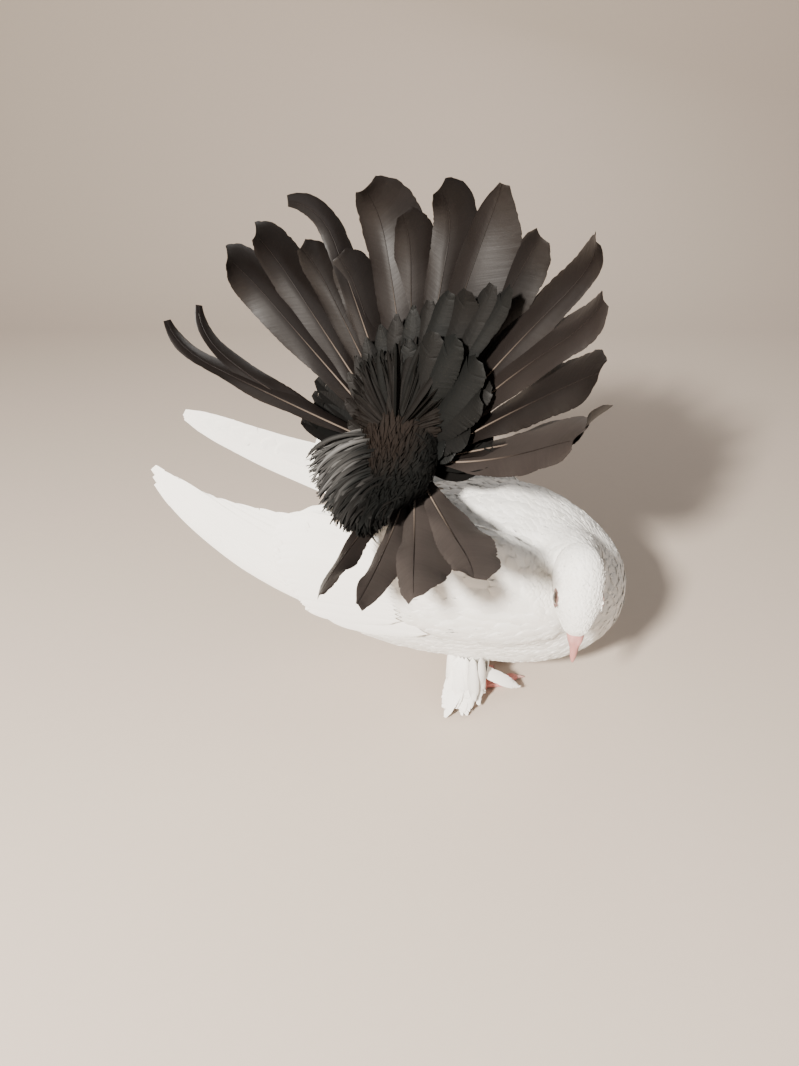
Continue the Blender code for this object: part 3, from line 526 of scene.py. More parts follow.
class Maker:
    """Builds a material's nodes round its Principled shader."""

    def __init__(self, name, **constants):
        self.material = bpy.data.materials.new(name)
        self.material.use_nodes = True
        self.tree = self.material.node_tree
        self.shader = self.tree.nodes["Principled BSDF"]
        for socket, value in constants.items():
            self.shader.inputs[socket.replace("_", " ")].default_value = value

    def node(self, kind, settings=None, sockets=None, output=0):
        """A node of a type, its settings set first, then the values or links of its sockets."""
        node = self.tree.nodes.new(kind)
        for key, value in (settings or {}).items():
            setattr(node, key, value)
        for key, value in (sockets or {}).items():
            self.feed(node.inputs[key], value)
        return Value(self, node.outputs[output])

    def feed(self, socket, value):
        if isinstance(value, Value):
            self.tree.links.new(value.socket, socket)
        else:
            socket.default_value = value

    def math(self, operation, *values):
        return self.node("ShaderNodeMath", {"operation": operation}, dict(enumerate(values)))

    def mix(self, factor, first, second):
        """A colour between two, by a factor."""
        sockets = {0: factor, 6: colour(first), 7: colour(second)}
        return self.node("ShaderNodeMix", {"data_type": "RGBA"}, sockets, 2)

    def smooth(self, value, low, high):
        """0 below low, 1 above high and smooth between."""
        sockets = {"Value": value, "From Min": low, "From Max": high}
        return self.node("ShaderNodeMapRange", {"interpolation_type": "SMOOTHSTEP"}, sockets)

    def noise(self, vector, scale, detail=2.0, roughness=0.5):
        sockets = {"Vector": vector, "Scale": scale, "Detail": detail, "Roughness": roughness}
        return self.node("ShaderNodeTexNoise", {}, sockets)

    def place(self):
        return self.node("ShaderNodeTexCoord", output=3)

    def attribute(self, name):
        return self.node("ShaderNodeAttribute", {"attribute_name": name}, output=2)

    def map(self, name):
        return self.node("ShaderNodeUVMap", {"uv_map": name})

    def stretched(self, vector, *scale):
        return self.node("ShaderNodeMapping", {}, {"Vector": vector, "Scale": scale})

    def split(self, vector):
        node = self.node("ShaderNodeSeparateXYZ", {}, {"Vector": vector}).socket.node
        return [Value(self, output) for output in node.outputs]

    def bump(self, height, strength, distance):
        sockets = {"Height": height, "Strength": strength, "Distance": distance}
        return self.node("ShaderNodeBump", {}, sockets)

    def shade(self, **sockets):
        for socket, value in sockets.items():
            self.feed(self.shader.inputs[socket.replace("_", " ")], value)
        return self.material


def colour(value):
    """A colour of three numbers with its fourth; a link stays as it is."""
    return value if isinstance(value, Value) else (*value, 1.0)


def barb_relief(maker):
    """Fine ridges along the barbs, which lean from the quill to the vane's edge."""
    vane = maker.map("Vane")
    fine = maker.noise(maker.stretched(vane, 1.6, 2600.0, 1.0), 1.0, 3.0, 0.6)
    broad = maker.noise(maker.stretched(vane, 1.2, 420.0, 1.0), 1.0, 2.0, 0.5)
    return fine, broad


def white_plumage(plumage):
    """White feathering, a little warm in its depth, with the black of the tail where it begins."""
    maker = Maker("white_plumage", Sheen_Weight=0.15, Sheen_Roughness=0.6)
    fine, broad = barb_relief(maker)
    tone = maker.attribute("tone")
    dark = maker.attribute("dark")
    clouds = maker.noise(maker.place(), 35.0, 3.0)
    white = maker.mix(clouds * 0.5 + tone * 0.5, plumage.white_shade, plumage.white)
    white = maker.mix(broad * 0.25, white, plumage.white_shade)
    # The wing shafts' own cream, also painted as shade along the wing coverts' tips
    white = maker.mix(maker.smooth(dark, 0.05, 0.15), white, plumage.wing_shaft_and_rim_shade)
    ruddy = maker.mix(tone, plumage.tail_dark, plumage.tail)
    shown = maker.mix(maker.smooth(dark + (clouds - 0.5) * 0.4, 0.35, 0.65), white, ruddy)
    relief = maker.bump(fine * 0.6 + broad, 0.35, 0.0004)
    return maker.shade(Base_Color=shown, Roughness=0.62 + broad * 0.15, Normal=relief)


def tail_plumage(plumage):
    """Brown-black vanes with a grey, silky sheen; the lower ones painted paler where the light falls on them."""
    maker = Maker("tail_plumage", Specular_IOR_Level=0.30)
    fine, broad = barb_relief(maker)
    tone = maker.attribute("tone")
    place = maker.place()
    clouds = maker.noise(place, 55.0, 3.0)
    creases = maker.noise(place, 120.0, 3.0, 0.55)
    along = maker.split(maker.map("Vane"))[1]
    shown = maker.mix(tone * 0.8 + clouds * 0.3, plumage.tail_dark, plumage.tail)
    # Painted light: the lower feathers, of the highest tone, painted paler where they face the light
    shown = maker.mix(maker.smooth(tone, 0.7, 1.0) * 0.8, shown, plumage.tail_painted_light)
    shown = maker.mix(broad * 0.35, shown, plumage.tail_dark)
    tips = maker.smooth(along, 0.10, 0.155)
    relief = maker.bump(fine * 0.2 + broad * 0.5 + creases * (0.6 + tips * 3.0), 0.35, 0.0004)
    gloss = 0.38 + clouds * 0.16 + broad * 0.08 - tips * 0.08 + maker.smooth(tone, 0.7, 1.0) * 0.14
    return maker.shade(Base_Color=shown, Roughness=gloss, Normal=relief)


def covert_plumage(plumage, name, gloss):
    """Coverts inside the fan: a soft brown heart, and greenish black round it."""
    maker = Maker(name, Specular_IOR_Level=gloss)
    fine, broad = barb_relief(maker)
    tone = maker.attribute("tone")
    dark = maker.attribute("dark")
    along = maker.split(maker.map("Vane"))[1]
    shown = maker.mix(maker.smooth(dark, 0.0, 1.0), plumage.covert_heart, plumage.covert)
    shown = maker.mix(tone * 0.5 + broad * 0.3, shown, plumage.tail_dark)
    # Grey tips of the down: partly their own grey, partly painted sheen, strongest on the upper loose down
    tips = maker.smooth(dark, 1.0, 2.0) * maker.smooth(along, 0.009, 0.028) * (0.75 + tone * 0.25)
    shown = maker.mix(tips, shown, plumage.down_tip_and_sheen)
    relief = maker.bump(fine * 0.7 + broad, 0.4, 0.0004)
    return maker.shade(Base_Color=shown, Roughness=0.66 - gloss * 0.75 + broad * 0.15, Normal=relief)


def shaft_horn(plumage):
    maker = Maker("shaft_horn", Specular_IOR_Level=0.4)
    vane = maker.map("Vane")
    streaks = maker.noise(maker.stretched(vane, 6.0, 2.0, 1.0), 4.0, 2.0)
    along = maker.split(vane)[1]
    shown = maker.mix(maker.smooth(along, 0.10, 0.70), plumage.shaft, plumage.tail)
    shown = maker.mix(streaks * 0.3, shown, plumage.tail_dark)
    return maker.shade(Base_Color=shown, Roughness=0.3 + streaks * 0.15)


def bill_horn(head):
    """Pink horn, paler and duller at the flaps, darker at the tip."""
    maker = Maker("bill_horn", Subsurface_Weight=0.08, Subsurface_Scale=0.002)
    place = maker.place()
    blotches = maker.noise(place, 260.0, 3.0)
    grain = maker.noise(maker.stretched(place, 900.0, 900.0, 160.0), 1.0, 2.0)
    tip = maker.attribute("tone")
    shown = maker.mix(maker.smooth(tip, 0.0, 0.55), head.cere, head.bill)
    shown = maker.mix(maker.smooth(tip, 0.8, 1.0) * 0.35, shown, head.bill_tip)
    shown = maker.mix(blotches * 0.3, shown, head.bill_tip)
    relief = maker.bump(grain * 0.5 + blotches, 0.3, 0.0003)
    return maker.shade(Base_Color=shown, Roughness=0.4 + blotches * 0.2, Normal=relief)


def lid_skin(head):
    maker = Maker("lid_skin")
    place = maker.place()
    grain = maker.noise(place, 900.0, 3.0)
    shown = maker.mix(grain * 0.35, head.lid, head.cere)
    return maker.shade(Base_Color=shown, Roughness=0.55 + grain * 0.1, Normal=maker.bump(grain, 0.4, 0.0003))


def eye_glass(head):
    """A dark brown iris round its pupil, under a wet, clear front."""
    maker = Maker("eye_glass", Coat_Weight=1.0, Coat_Roughness=0.03)
    out = maker.attribute("tone")
    rays = maker.noise(maker.place(), 1500.0, 2.0)
    iris = maker.mix(rays, head.iris, (0.010, 0.006, 0.004))
    shown = maker.mix(maker.smooth(out, 0.40, 0.46), (0.003, 0.003, 0.003), iris)
    return maker.shade(Base_Color=shown, Roughness=0.12 + rays * 0.05)


def toe_skin(feet):
    """Red skin under rows of paler scales."""
    maker = Maker("toe_skin", Subsurface_Weight=0.06, Subsurface_Scale=0.002)
    place = maker.place()
    scales = maker.node("ShaderNodeTexVoronoi", {"feature": "DISTANCE_TO_EDGE"}, {"Vector": place, "Scale": 620.0})
    blotches = maker.noise(place, 240.0, 3.0)
    seams = maker.smooth(scales, 0.0, 0.12)
    shown = maker.mix(seams, feet.skin_dark, feet.skin)
    shown = maker.mix(blotches * 0.45, shown, feet.skin_pale)
    relief = maker.bump(seams + blotches * 0.4, 0.5, 0.0003)
    return maker.shade(Base_Color=shown, Roughness=0.5 + blotches * 0.15, Normal=relief)


def claw_horn(feet):
    maker = Maker("claw_horn")
    place = maker.place()
    streaks = maker.noise(maker.stretched(place, 300.0, 300.0, 900.0), 1.0, 2.0)
    shown = maker.mix(streaks, feet.claw, feet.skin_pale)
    return maker.shade(Base_Color=shown, Roughness=0.35 + streaks * 0.1)


def floor_paper(stage):
    maker = Maker("floor_paper")
    grain = maker.noise(maker.place(), 140.0, 3.0)
    shown = maker.mix(grain * 0.25, stage.floor, stage.floor_shade)
    return maker.shade(Base_Color=shown, Roughness=0.85 + grain * 0.05)


# Sizes and colours that a user would change


def tint(name, description, default):
    return FloatVectorProperty(name=name, description=description, default=default, subtype="COLOR", min=0, max=1)


def metres(name, description, default):
    return FloatProperty(name=name, description=description, default=default, unit="LENGTH")


class PigeonPlumage(bpy.types.PropertyGroup):
    white: tint("White", "Lightest white of the body", (0.86, 0.85, 0.82))
    white_shade: tint("White in depth", "White of the feathers' shaded parts", (0.74, 0.72, 0.67))
    tail: tint("Tail", "Brown-black of the tail's vanes", (0.0100, 0.0070, 0.0060))
    tail_dark: tint("Tail in depth", "Darkest black of the tail", (0.005, 0.0036, 0.003))
    # Painted light: paler grey-brown for the lower feathers where they face the light
    tail_painted_light: tint("Tail below", "Grey-brown of the lower feathers", (0.056, 0.045, 0.040))
    covert: tint("Coverts", "Greenish black of the coverts in the fan", (0.0034, 0.0041, 0.0039))
    covert_heart: tint("Heart of the coverts", "Brown down in the middle of the fan", (0.0105, 0.0070, 0.0050))
    # Grey of the down's tips, partly their own and partly painted sheen
    down_tip_and_sheen: tint("Down tips", "Grey tips of the loose down under the tail", (0.16, 0.155, 0.15))
    shaft: tint("Shafts", "Pale horn of the tail's shafts", (0.23, 0.18, 0.145))
    # Cream of the wing shafts, also painted as shade along the tips of the wing coverts
    wing_shaft_and_rim_shade: tint("Wing shafts", "Cream horn of the wings' shafts", (0.66, 0.52, 0.38))
    seed: IntProperty(name="Seed", description="Start of the random draws", default=11)


class PigeonCoat(bpy.types.PropertyGroup):
    head_length: metres("Head feathers", "Their length", 0.0055)
    body_length: metres("Body feathers", "Their length", 0.019)
    wing_length: metres("Wing coverts", "Their length", 0.023)
    depth: metres("Depth", "Depth of the coat on the body", 0.0013)
    head_depth: metres("Head depth", "Depth of the coat on the head", 0.0005)


class PigeonHead(bpy.types.PropertyGroup):
    bill: tint("Bill", "Pink horn of the bill", (0.39, 0.165, 0.155))
    bill_tip: tint("Bill tip", "Horn at the tip", (0.46, 0.24, 0.20))
    cere: tint("Flaps", "Pale flaps over the nostrils", (0.46, 0.215, 0.20))
    lid: tint("Lids", "Bare skin round the eye", (0.30, 0.20, 0.17))
    iris: tint("Iris", "Dark brown of the eye", (0.045, 0.020, 0.010))
    bill_length: metres("Bill", "Length of the upper bill", 0.0165)
    eye_radius: metres("Eye", "Radius of the eyeball", 0.0052)


class PigeonFeet(bpy.types.PropertyGroup):
    skin: tint("Scales", "Pink-red of the toes", (0.66, 0.24, 0.22))
    skin_dark: tint("Seams", "Red between the scales", (0.42, 0.11, 0.11))
    skin_pale: tint("Pale skin", "Paler blotches of the toes", (0.78, 0.42, 0.38))
    claw: tint("Claws", "Dull horn of the claws", (0.30, 0.22, 0.18))
    toe_radius: metres("Toe", "Radius of a toe at its root", 0.0034)


class PigeonStage(bpy.types.PropertyGroup):
    floor: tint("Floor", "Pale paper under the bird", (0.52, 0.44, 0.37))
    floor_shade: tint("Floor shade", "Grain of the paper", (0.46, 0.38, 0.32))
    camera_height: metres("Camera height", "Above the floor", 0.35)
    camera_pitch: FloatProperty(name="Camera pitch", description="How far it looks down", default=math.radians(28),
                                unit="ROTATION")


GROUPS = {
    "pigeon_plumage": PigeonPlumage, "pigeon_coat": PigeonCoat, "pigeon_head": PigeonHead,
    "pigeon_feet": PigeonFeet, "pigeon_stage": PigeonStage,
}


def smooth_stations(stations, count):
    """Points of a smooth curve through the stations, evenly spread over them."""
    table = np.array(stations, float)
    last = len(table) - 1
    result = []
    for step in range(count + 1):
        place = last * step / count
        index = min(int(place), last - 1)
        part = place - index
        before, start = table[max(index - 1, 0)], table[index]
        end, after = table[index + 1], table[min(index + 2, last)]
        bend = 2 * start + (end - before) * part
        bend += (2 * before - 5 * start + 4 * end - after) * part ** 2
        bend += (3 * start - before - 3 * end + after) * part ** 3
        result.append(bend / 2)
    return result


def loft(bm, rings, close=True):
    """Bridge circles of points, each made by its operator and set in place, into one closed form."""
    loops = []
    for points in rings:
        made = bmesh.ops.create_circle(bm, segments=len(points), radius=1.0)["verts"]
        for vert, point in zip(made, points):
            vert.co = point
        loops.append(made)
    edges = []
    for made in loops:
        edges += [edge for edge in bm.edges if edge.verts[0] in made and edge.verts[1] in made]
    bmesh.ops.bridge_loops(bm, edges=edges)
    if close:
        border = [edge for edge in bm.edges if edge.is_boundary]
        bmesh.ops.holes_fill(bm, edges=border)


FORWARD, LEFT, UP = np.eye(3)


def circle(centre, side, up, half_side, half_up, count):
    turns = 2 * math.pi * np.arange(count) / count
    return centre + np.outer(half_side * np.cos(turns), side) + np.outer(half_up * np.sin(turns), up)


def blend(bm, size, rounds):
    """Join the forms in a bmesh into one skin without seams, and smooth it."""
    mesh = bpy.data.meshes.new("blend")
    bm.to_mesh(mesh)
    bm.free()
    item = place_object("blend", mesh)
    remesh = item.modifiers.new("remesh", "REMESH")
    remesh.mode = "VOXEL"
    remesh.voxel_size = size
    bpy.context.view_layer.update()
    graph = bpy.context.evaluated_depsgraph_get()
    made = bpy.data.meshes.new_from_object(item.evaluated_get(graph))
    bpy.data.objects.remove(item)
    bm = bmesh.new()
    bm.from_mesh(made)
    bpy.data.meshes.remove(made)
    for _ in range(rounds):
        bmesh.ops.smooth_vert(bm, verts=bm.verts[:], factor=0.5, use_axis_x=True, use_axis_y=True, use_axis_z=True)
    return bm


# How far from the head's middle, and how high above the floor, creases begin to be filled
FILL_FROM = 0.034
FILL_ABOVE = 0.036


def fill_creases(bm, rounds):
    """Raise the hollows of a form until they are smooth, away from the head; its bulges stay."""
    places = places_of(bm.verts)
    edges = np.array([[vert.index for vert in edge.verts] for edge in bm.edges])
    count = np.bincount(edges.ravel(), minlength=len(places))[:, None]
    near = np.linalg.norm(places - head_point(*HEAD_MIDDLE), axis=1)
    high = (places - SHIFT)[:, 2]
    share = np.clip((near - FILL_FROM) / 0.012, 0, 1) * np.clip((high - FILL_ABOVE) / 0.010, 0, 1)
    for step in range(rounds):
        total = np.zeros_like(places)
        for axis in range(3):
            ends = places[:, axis][edges]
            total[:, axis] = np.bincount(edges.ravel(), weights=ends[:, ::-1].ravel(), minlength=len(places))
        if step % 10 == 0:
            move_to(bm.verts, places)
            bm.normal_update()
            normals = normals_of(bm.verts)
        rise = np.clip(np.sum((total / count - places) * normals, axis=1), 0, None) * share
        places = places + normals * rise[:, None]
    move_to(bm.verts, places)


def surface_tree(item):
    return BVHTree.FromPolygons([vert.co for vert in item.data.vertices],
                                [tuple(face.vertices) for face in item.data.polygons])


def set_values(item, name, values):
    """A value at each vertex, for the material."""
    attribute = item.data.attributes.new(name, "FLOAT", "POINT")
    attribute.data.foreach_set("value", np.array(values, np.float32))


# The skin


# Shank: heights and radii; and how far each leg stands from the middle
SHANK = ((0.0128, 0.0044), (0.020, 0.0078), (0.030, 0.0128), (0.050, 0.0175))
FOOT_Y = 0.025
# How far each foot is turned outward or inward, in degrees
FOOT_YAW = {1: 8.0, -1: 22.0}
# How far the parts of flesh grow to close the gaps between them
SEAM = 0.0004
# Grain of the blended skin, and rounds in which it is smoothed and its hollows are filled
SKIN_GRAIN = 0.0013
SKIN_ROUNDS = 6
FILL_ROUNDS = 120
# Radius of the bare ring round each eye, where the skin is pressed to the eyeball
EYE_RING = 0.0056


def skin_form():
    """Torso, neck, head, wing shields and shanks as one closed form, without seams."""
    bm = bmesh.new()
    for node in ("torso", "neck", "head", "eye_right", "eye_left"):
        form = bmesh.new()
        form.from_mesh(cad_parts[node].data)
        bmesh.ops.remove_doubles(form, verts=form.verts[:], dist=1e-6)
        form.normal_update()
        move_to(form.verts, [vert.co + vert.normal * SEAM for vert in form.verts])
        join_form(bm, form, outward=False)
    for side in (-1, 1):
        shield = bmesh.new()
        rings = []
        for x, y, z, tall, thick in smooth_stations(WING_SHIELD, 12):
            centre = bird_point(x, side * y, z)
            rings.append(circle(centre, LEFT, UP, thick, tall, 24))
        loft(shield, rings)
        shank = bmesh.new()
        rings = []
        for height, radius in SHANK:
            centre = bird_point(-0.003, side * FOOT_Y, height)
            rings.append(circle(centre, FORWARD, LEFT, radius, radius, 20))
        loft(shank, rings)
        join_form(bm, shield)
        join_form(bm, shank)
    bm = blend(bm, SKIN_GRAIN, SKIN_ROUNDS)
    bm.verts.index_update()
    fill_creases(bm, FILL_ROUNDS)
    return bm


# How far from the head's middle the body begins, and the soft edge before it
HEAD_REACH = 0.040
HEAD_EDGE = 0.014
# Oval of a wing shield seen from the side: x and z of its middle, its slope, half its length and height;
# and how far out the shield lies
OVAL_X = -0.020
OVAL_Z = 0.099
OVAL_SLOPE = 0.17
OVAL_LONG = 0.068
OVAL_TALL = 0.036
SHIELD_OUT = 0.0495


def near_head(points):
    """How much each point belongs to the head and neck, from 0 on the body to 1 on the head."""
    head = np.linalg.norm(points - head_point(*HEAD_MIDDLE), axis=1)
    return np.clip((HEAD_REACH - head) / HEAD_EDGE, 0, 1)


def on_wing(points):
    """How much each point belongs to a wing shield."""
    bird = points - SHIFT
    out = np.abs(bird[:, 1]) - SHIELD_OUT
    along = (bird[:, 0] - OVAL_X) / OVAL_LONG
    across = (bird[:, 2] - (OVAL_Z - OVAL_SLOPE * bird[:, 0])) / OVAL_TALL
    inside = 1.15 - np.hypot(along, across)
    return np.clip(inside * 5, 0, 1) * (out > -0.004)


def eye_lines(points):
    """How far each point lies to the bird's right, and how far from the line through both eyes."""
    right = head_axes()[1]
    offset = points - head_point(EYE_PLACE[0], 0, EYE_PLACE[2])
    return offset @ right, np.linalg.norm(offset - np.outer(offset @ right, right), axis=1)


# The tail's black round the foot of the fan: its middle from the foot, its radius and its soft edge
BLACK_MIDDLE = np.array((-0.004, 0, -0.008))
BLACK_RADIUS = 0.034
BLACK_EDGE = 0.006


def tail_marking(points):
    """How much of the tail's black each point has, none of it at the values of a wing's shaft or painted rim
    shade.
    """
    reach = np.linalg.norm(points - (FAN_FOOT + BLACK_MIDDLE), axis=1)
    share = np.clip((BLACK_RADIUS - reach) / BLACK_EDGE, 0, 1)
    return share * (share > 0.35)


def coat_depth(points, coat):
    return coat.depth + (coat.head_depth - coat.depth) * near_head(points)


# Crease between the head and the neck and breast: its depth, and how far from both it reaches
CREASE_DEPTH = 0.0024
CREASE_REACH = 0.0036


def head_crease(points):
    """How deep the skin is drawn in at each point where the head meets the neck and breast."""
    gaps = np.zeros(len(points))
    for nodes in (("head",), ("torso", "neck")):
        trees = [surface_tree(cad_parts[node]) for node in nodes]
        gaps += np.array([min(tree.find_nearest(Vector(point))[3] for tree in trees) for point in points])
    nape = np.linalg.norm(points - head_point(0.038, 0, 0.008), axis=1)
    crown_side = np.clip((points - head_point(0.02, 0, 0)) @ head_axes()[1] / -0.006, 0, 1)
    share = (1 - 0.5 * np.exp(-(nape / 0.010) ** 2)) * (1 + 0.8 * crown_side)
    return CREASE_DEPTH * share * np.clip(1 - gaps / CREASE_REACH, 0, 1)


class PIGEON_OT_skin(bpy.types.Operator):
    """Make the one skin of torso, neck, head, wing shields and shanks"""

    bl_idname = "pigeon.skin"
    bl_label = "Skin"

    def execute(self, context):
        coat = context.scene.pigeon_coat
        bm = skin_form()
        bm.normal_update()
        points = places_of(bm.verts)
        normals = normals_of(bm.verts)
        sunk = points - normals * (coat_depth(points, coat) + head_crease(points))[:, None]
        right = head_axes()[1]
        for side in (1, -1):
            out, ring = eye_lines(sunk)
            out = out * side
            pull = np.clip((EYE_RING - ring) / 0.0012, 0, 1) * np.clip(out - EYE_PLACE[1] - 0.001, 0, None)
            pull = pull * (out < 0.02)
            sunk -= np.outer(pull * side, right)
        move_to(bm.verts, sunk)
        item = object_from(bm, "skin", white_plumage(context.scene.pigeon_plumage))
        set_values(item, "dark", tail_marking(sunk))
        set_values(item, "tone", np.full(len(sunk), 0.3))
        claim(item, "white_plumage", "torso", "neck", "head")
        return {"FINISHED"}


# The coat


def lie_of_coat(points, normals):
    """The way the feathers point at each place: from the bill over the head and neck, then to the tail."""
    forward, _, crown = head_axes()
    body_forward, _, body_up = torso_axes()
    nape = head_point(0.038, 0, -0.008)
    foot = head_point(*NECK_FOOT)
    head_way = -forward + crown * 0.1
    neck_way = unit(foot - nape)
    head_share = near_head(points)
    offset = points - foot
    reach = np.linalg.norm(offset, axis=1)
    spread = np.exp(-reach / 0.040)[:, None]
    body_way = unit(offset) * spread + (-body_forward - body_up * 0.10) * (1.15 - spread)
    to_neck = np.linalg.norm(points - head_point(0.040, 0, -0.024), axis=1)
    neck_share = np.exp(-(to_neck / 0.020) ** 2)
    way = body_way * (1 - np.maximum(head_share, neck_share))[:, None]
    way = way + head_way * head_share[:, None] + neck_way * (neck_share * (1 - head_share))[:, None] * 1.5
    bird = points - SHIFT
    leg = (np.clip((0.036 - bird[:, 2]) / 0.008, 0, 1) * (np.abs(bird[:, 0]) < 0.03))[:, None]
    way = way * (1 - leg) + np.array((-0.25, 0, -1.0)) * leg
    way = way - normals * np.sum(way * normals, axis=1)[:, None]
    return unit(way)


def feather_length(points, coat):
    head = near_head(points)
    wing = on_wing(points)
    body = coat.body_length + (coat.wing_length - coat.body_length) * wing
    near_bill = np.linalg.norm(points - head_point(0, 0, 0), axis=1)
    small = coat.head_length * np.interp(near_bill, (0.004, 0.02, 0.04), (0.6, 1.0, 1.6))
    neck = np.exp(-np.linalg.norm(points - head_point(*NECK_FOOT), axis=1) / 0.05)
    body = body * (1 - 0.55 * neck * (1 - wing))
    low = np.clip(((points - SHIFT)[:, 2] - 0.010) / 0.03, 0.35, 1)
    return (body * (1 - head) + small * head) * low


def thin_out(points, spacing, draw):
    """Indices of points that keep their spacing from one another."""
    tree = KDTree(len(points))
    for index, point in enumerate(points):
        tree.insert(point, index)
    tree.balance()
    free = np.ones(len(points), bool)
    chosen = []
    for index in draw.permutation(len(points)):
        if not free[index]:
            continue
        chosen.append(index)
        for _, other, _ in tree.find_range(points[index], spacing[index]):
            free[other] = False
    return np.array(chosen)


# No feather grows this near to the eyes, the bill's base and the middle of the fan's foot, or this low
BARE_EYE = 0.0052
BARE_BILL = 0.0040
BARE_FAN = 0.014
LOWEST_ROOT = 0.0135


def bare_places(points):
    """Where no feather grows: the eyes, the bill's base, and what lies inside the fan's foot."""
    ring = eye_lines(points)[1]
    bill = np.linalg.norm(points - head_point(0, 0, 0), axis=1)
    mound = np.linalg.norm(points - FAN_FOOT, axis=1)
    low = (points - SHIFT)[:, 2] < LOWEST_ROOT
    return (ring < BARE_EYE) & (near_head(points) > 0.3) | (bill < BARE_BILL) | (mound < BARE_FAN) | low


def coat_patch(points):
    """Where each root lies on an unwrap of the body: round and along torso or head."""
    forward, left, up = torso_axes()
    offset = points - TORSO_MID - SHIFT
    round_body = np.arctan2(offset @ left, offset @ up) / (2 * math.pi) + 0.5
    along_body = offset @ forward / 0.25 + 0.5
    body = np.stack([0.02 + 0.96 * round_body, 0.02 + 0.60 * along_body], 1)
    ahead, right, crown = head_axes()
    offset = points - head_point(0.02, 0, -0.004)
    round_head = np.arctan2(offset @ right, offset @ crown) / (2 * math.pi) + 0.5
    along_head = offset @ -ahead / 0.10 + 0.5
    head = np.stack([0.02 + 0.96 * round_head, 0.66 + 0.30 * along_head], 1)
    return np.where((near_head(points) > 0.4)[:, None], head, body)


# Rows and columns of a body feather's points, and the columns of a strand of down
BODY_ROWS = np.array((0.0, 0.22, 0.46, 0.68, 0.86, 0.96, 1.0))
BODY_COLUMNS = np.array((-1.0, -0.55, 0.0, 0.55, 1.0))
NARROW_COLUMNS = np.array((-1.0, 0.0, 1.0))
# Size of one feather's patch on the map, and distance between the roots as a share of the length
PATCH = 0.003
SPACING = 0.20
# Thickness of a body feather
BODY_THICK = 0.00022


def lay_feathers(tree, roots, normals, way, length, width, rise, draw, columns=BODY_COLUMNS):
    """Grids of leaves that follow the skin from their roots and rise from it to their tips."""
    n = len(roots)
    rows = len(BODY_ROWS)
    line = np.zeros((n, rows, 3))
    up = np.zeros((n, rows, 3))
    heading = np.zeros((n, rows, 3))
    for index in range(n):
        spot, normal, going = Vector(roots[index]), Vector(normals[index]), Vector(way[index])
        last = 0.0
        for row, part in enumerate(BODY_ROWS):
            step = (part - last) * length[index]
            last = part
            if step:
                found, bend, _, _ = tree.find_nearest(spot + going * step)
                spot, normal = found, (normal * 0.4 + bend * 0.6).normalized()
                going = (going - normal * going.dot(normal)).normalized()
            line[index, row] = spot
            up[index, row] = normal
            heading[index, row] = going
    side = unit(np.cross(up, heading))
    half = width[:, None] / 2 * share_along("body", BODY_ROWS)[None]
    height = -0.0006 + (rise[:, None] + 0.0006) * BODY_ROWS[None] ** 0.8
    across = columns[None, None, :, None]
    grid = line[:, :, None] + side[:, :, None] * across * half[:, :, None, None]
    grid = grid + up[:, :, None] * (height[:, :, None, None] - across ** 2 * 0.16 * half[:, :, None, None])
    slide = BODY_ROWS[None, :, None] ** 3 * draw.normal(0, 0.05, (n, 1, len(columns)))
    slide = slide - 0.10 * BODY_ROWS[None, :, None] ** 2 * np.abs(columns)[None, None]
    return grid + heading[:, :, None] * (slide * length[:, None, None])[..., None]


class PIGEON_OT_coat(bpy.types.Operator):
    """Lay the body's small feathers over the skin, each along the lie of the coat"""

    bl_idname = "pigeon.coat"
    bl_label = "Body feathers"

    def execute(self, context):
        coat = context.scene.pigeon_coat
        plumage = context.scene.pigeon_plumage
        draw = np.random.default_rng(plumage.seed)
        skin = bpy.data.objects["skin"]
        points = places_of(skin.data.vertices)
        normals = normals_of(skin.data.vertices)
        tree = surface_tree(skin)
        length = feather_length(points, coat)
        chosen = thin_out(points, length * SPACING, draw)
        chosen = chosen[~bare_places(points[chosen])]
        roots, normals, length = points[chosen], normals[chosen], length[chosen]
        way = lie_of_coat(roots, normals)
        turn = np.radians(draw.normal(0, 7, len(roots)))[:, None]
        way = unit(way * np.cos(turn) + np.cross(normals, way) * np.sin(turn))
        length = length * draw.uniform(0.9, 1.12, len(roots))
        crease = np.clip(head_crease(roots) / CREASE_DEPTH, 0, 1)
        length = length * (1 - 0.65 * crease)
        width = length * (0.62 - 0.06 * near_head(roots))
        breast = np.exp(-np.linalg.norm(roots - head_point(*NECK_FOOT), axis=1) / 0.06) * (1 - near_head(roots))
        spread = 0.25 * (1 - 0.7 * near_head(roots))
        rise = coat_depth(roots, coat) * (1 - spread * draw.uniform(0, 1, len(roots))) * (1 - 0.5 * breast)
        rise = rise * (1 - 0.3 * crease)
        dark = tail_marking(roots)
        grid = lay_feathers(tree, roots, normals, way, length, width, rise, draw)
        patch = coat_patch(roots)
        part = np.stack(np.meshgrid(BODY_COLUMNS / 2 + 0.5, BODY_ROWS), -1)
        bake = patch[:, None, None] + (part[None] - 0.5) * PATCH
        vane = np.broadcast_to(part, (len(roots), *part.shape)) * np.array((1.0, 0.0))
        vane = vane + BODY_ROWS[None, :, None, None] * length[:, None, None, None] * np.array((0.0, 1.0))
        tone = draw.uniform(0, 1, len(roots))
        regions = {
            "head_coat": near_head(roots) > 0.35,
            "breast_coat": (near_head(roots) <= 0.35) & (on_wing(roots) < 0.5) & (roots[:, 0] > SHIFT[0] + 0.03),
            "back_coat": (near_head(roots) <= 0.35) & (on_wing(roots) < 0.5) & (roots[:, 0] <= SHIFT[0] + 0.03),
            "wing_coat": (near_head(roots) <= 0.35) & (on_wing(roots) >= 0.5),
        }
        material = skin.data.materials[0]
        for name, here in regions.items():
            leaves = Leaves()
            leaves.add(grid[here], BODY_THICK, vane[here], bake[here], tone[here], dark[here])
            claim(leaves.build(name, material), "white_plumage")
        return {"FINISHED"}


# Wings

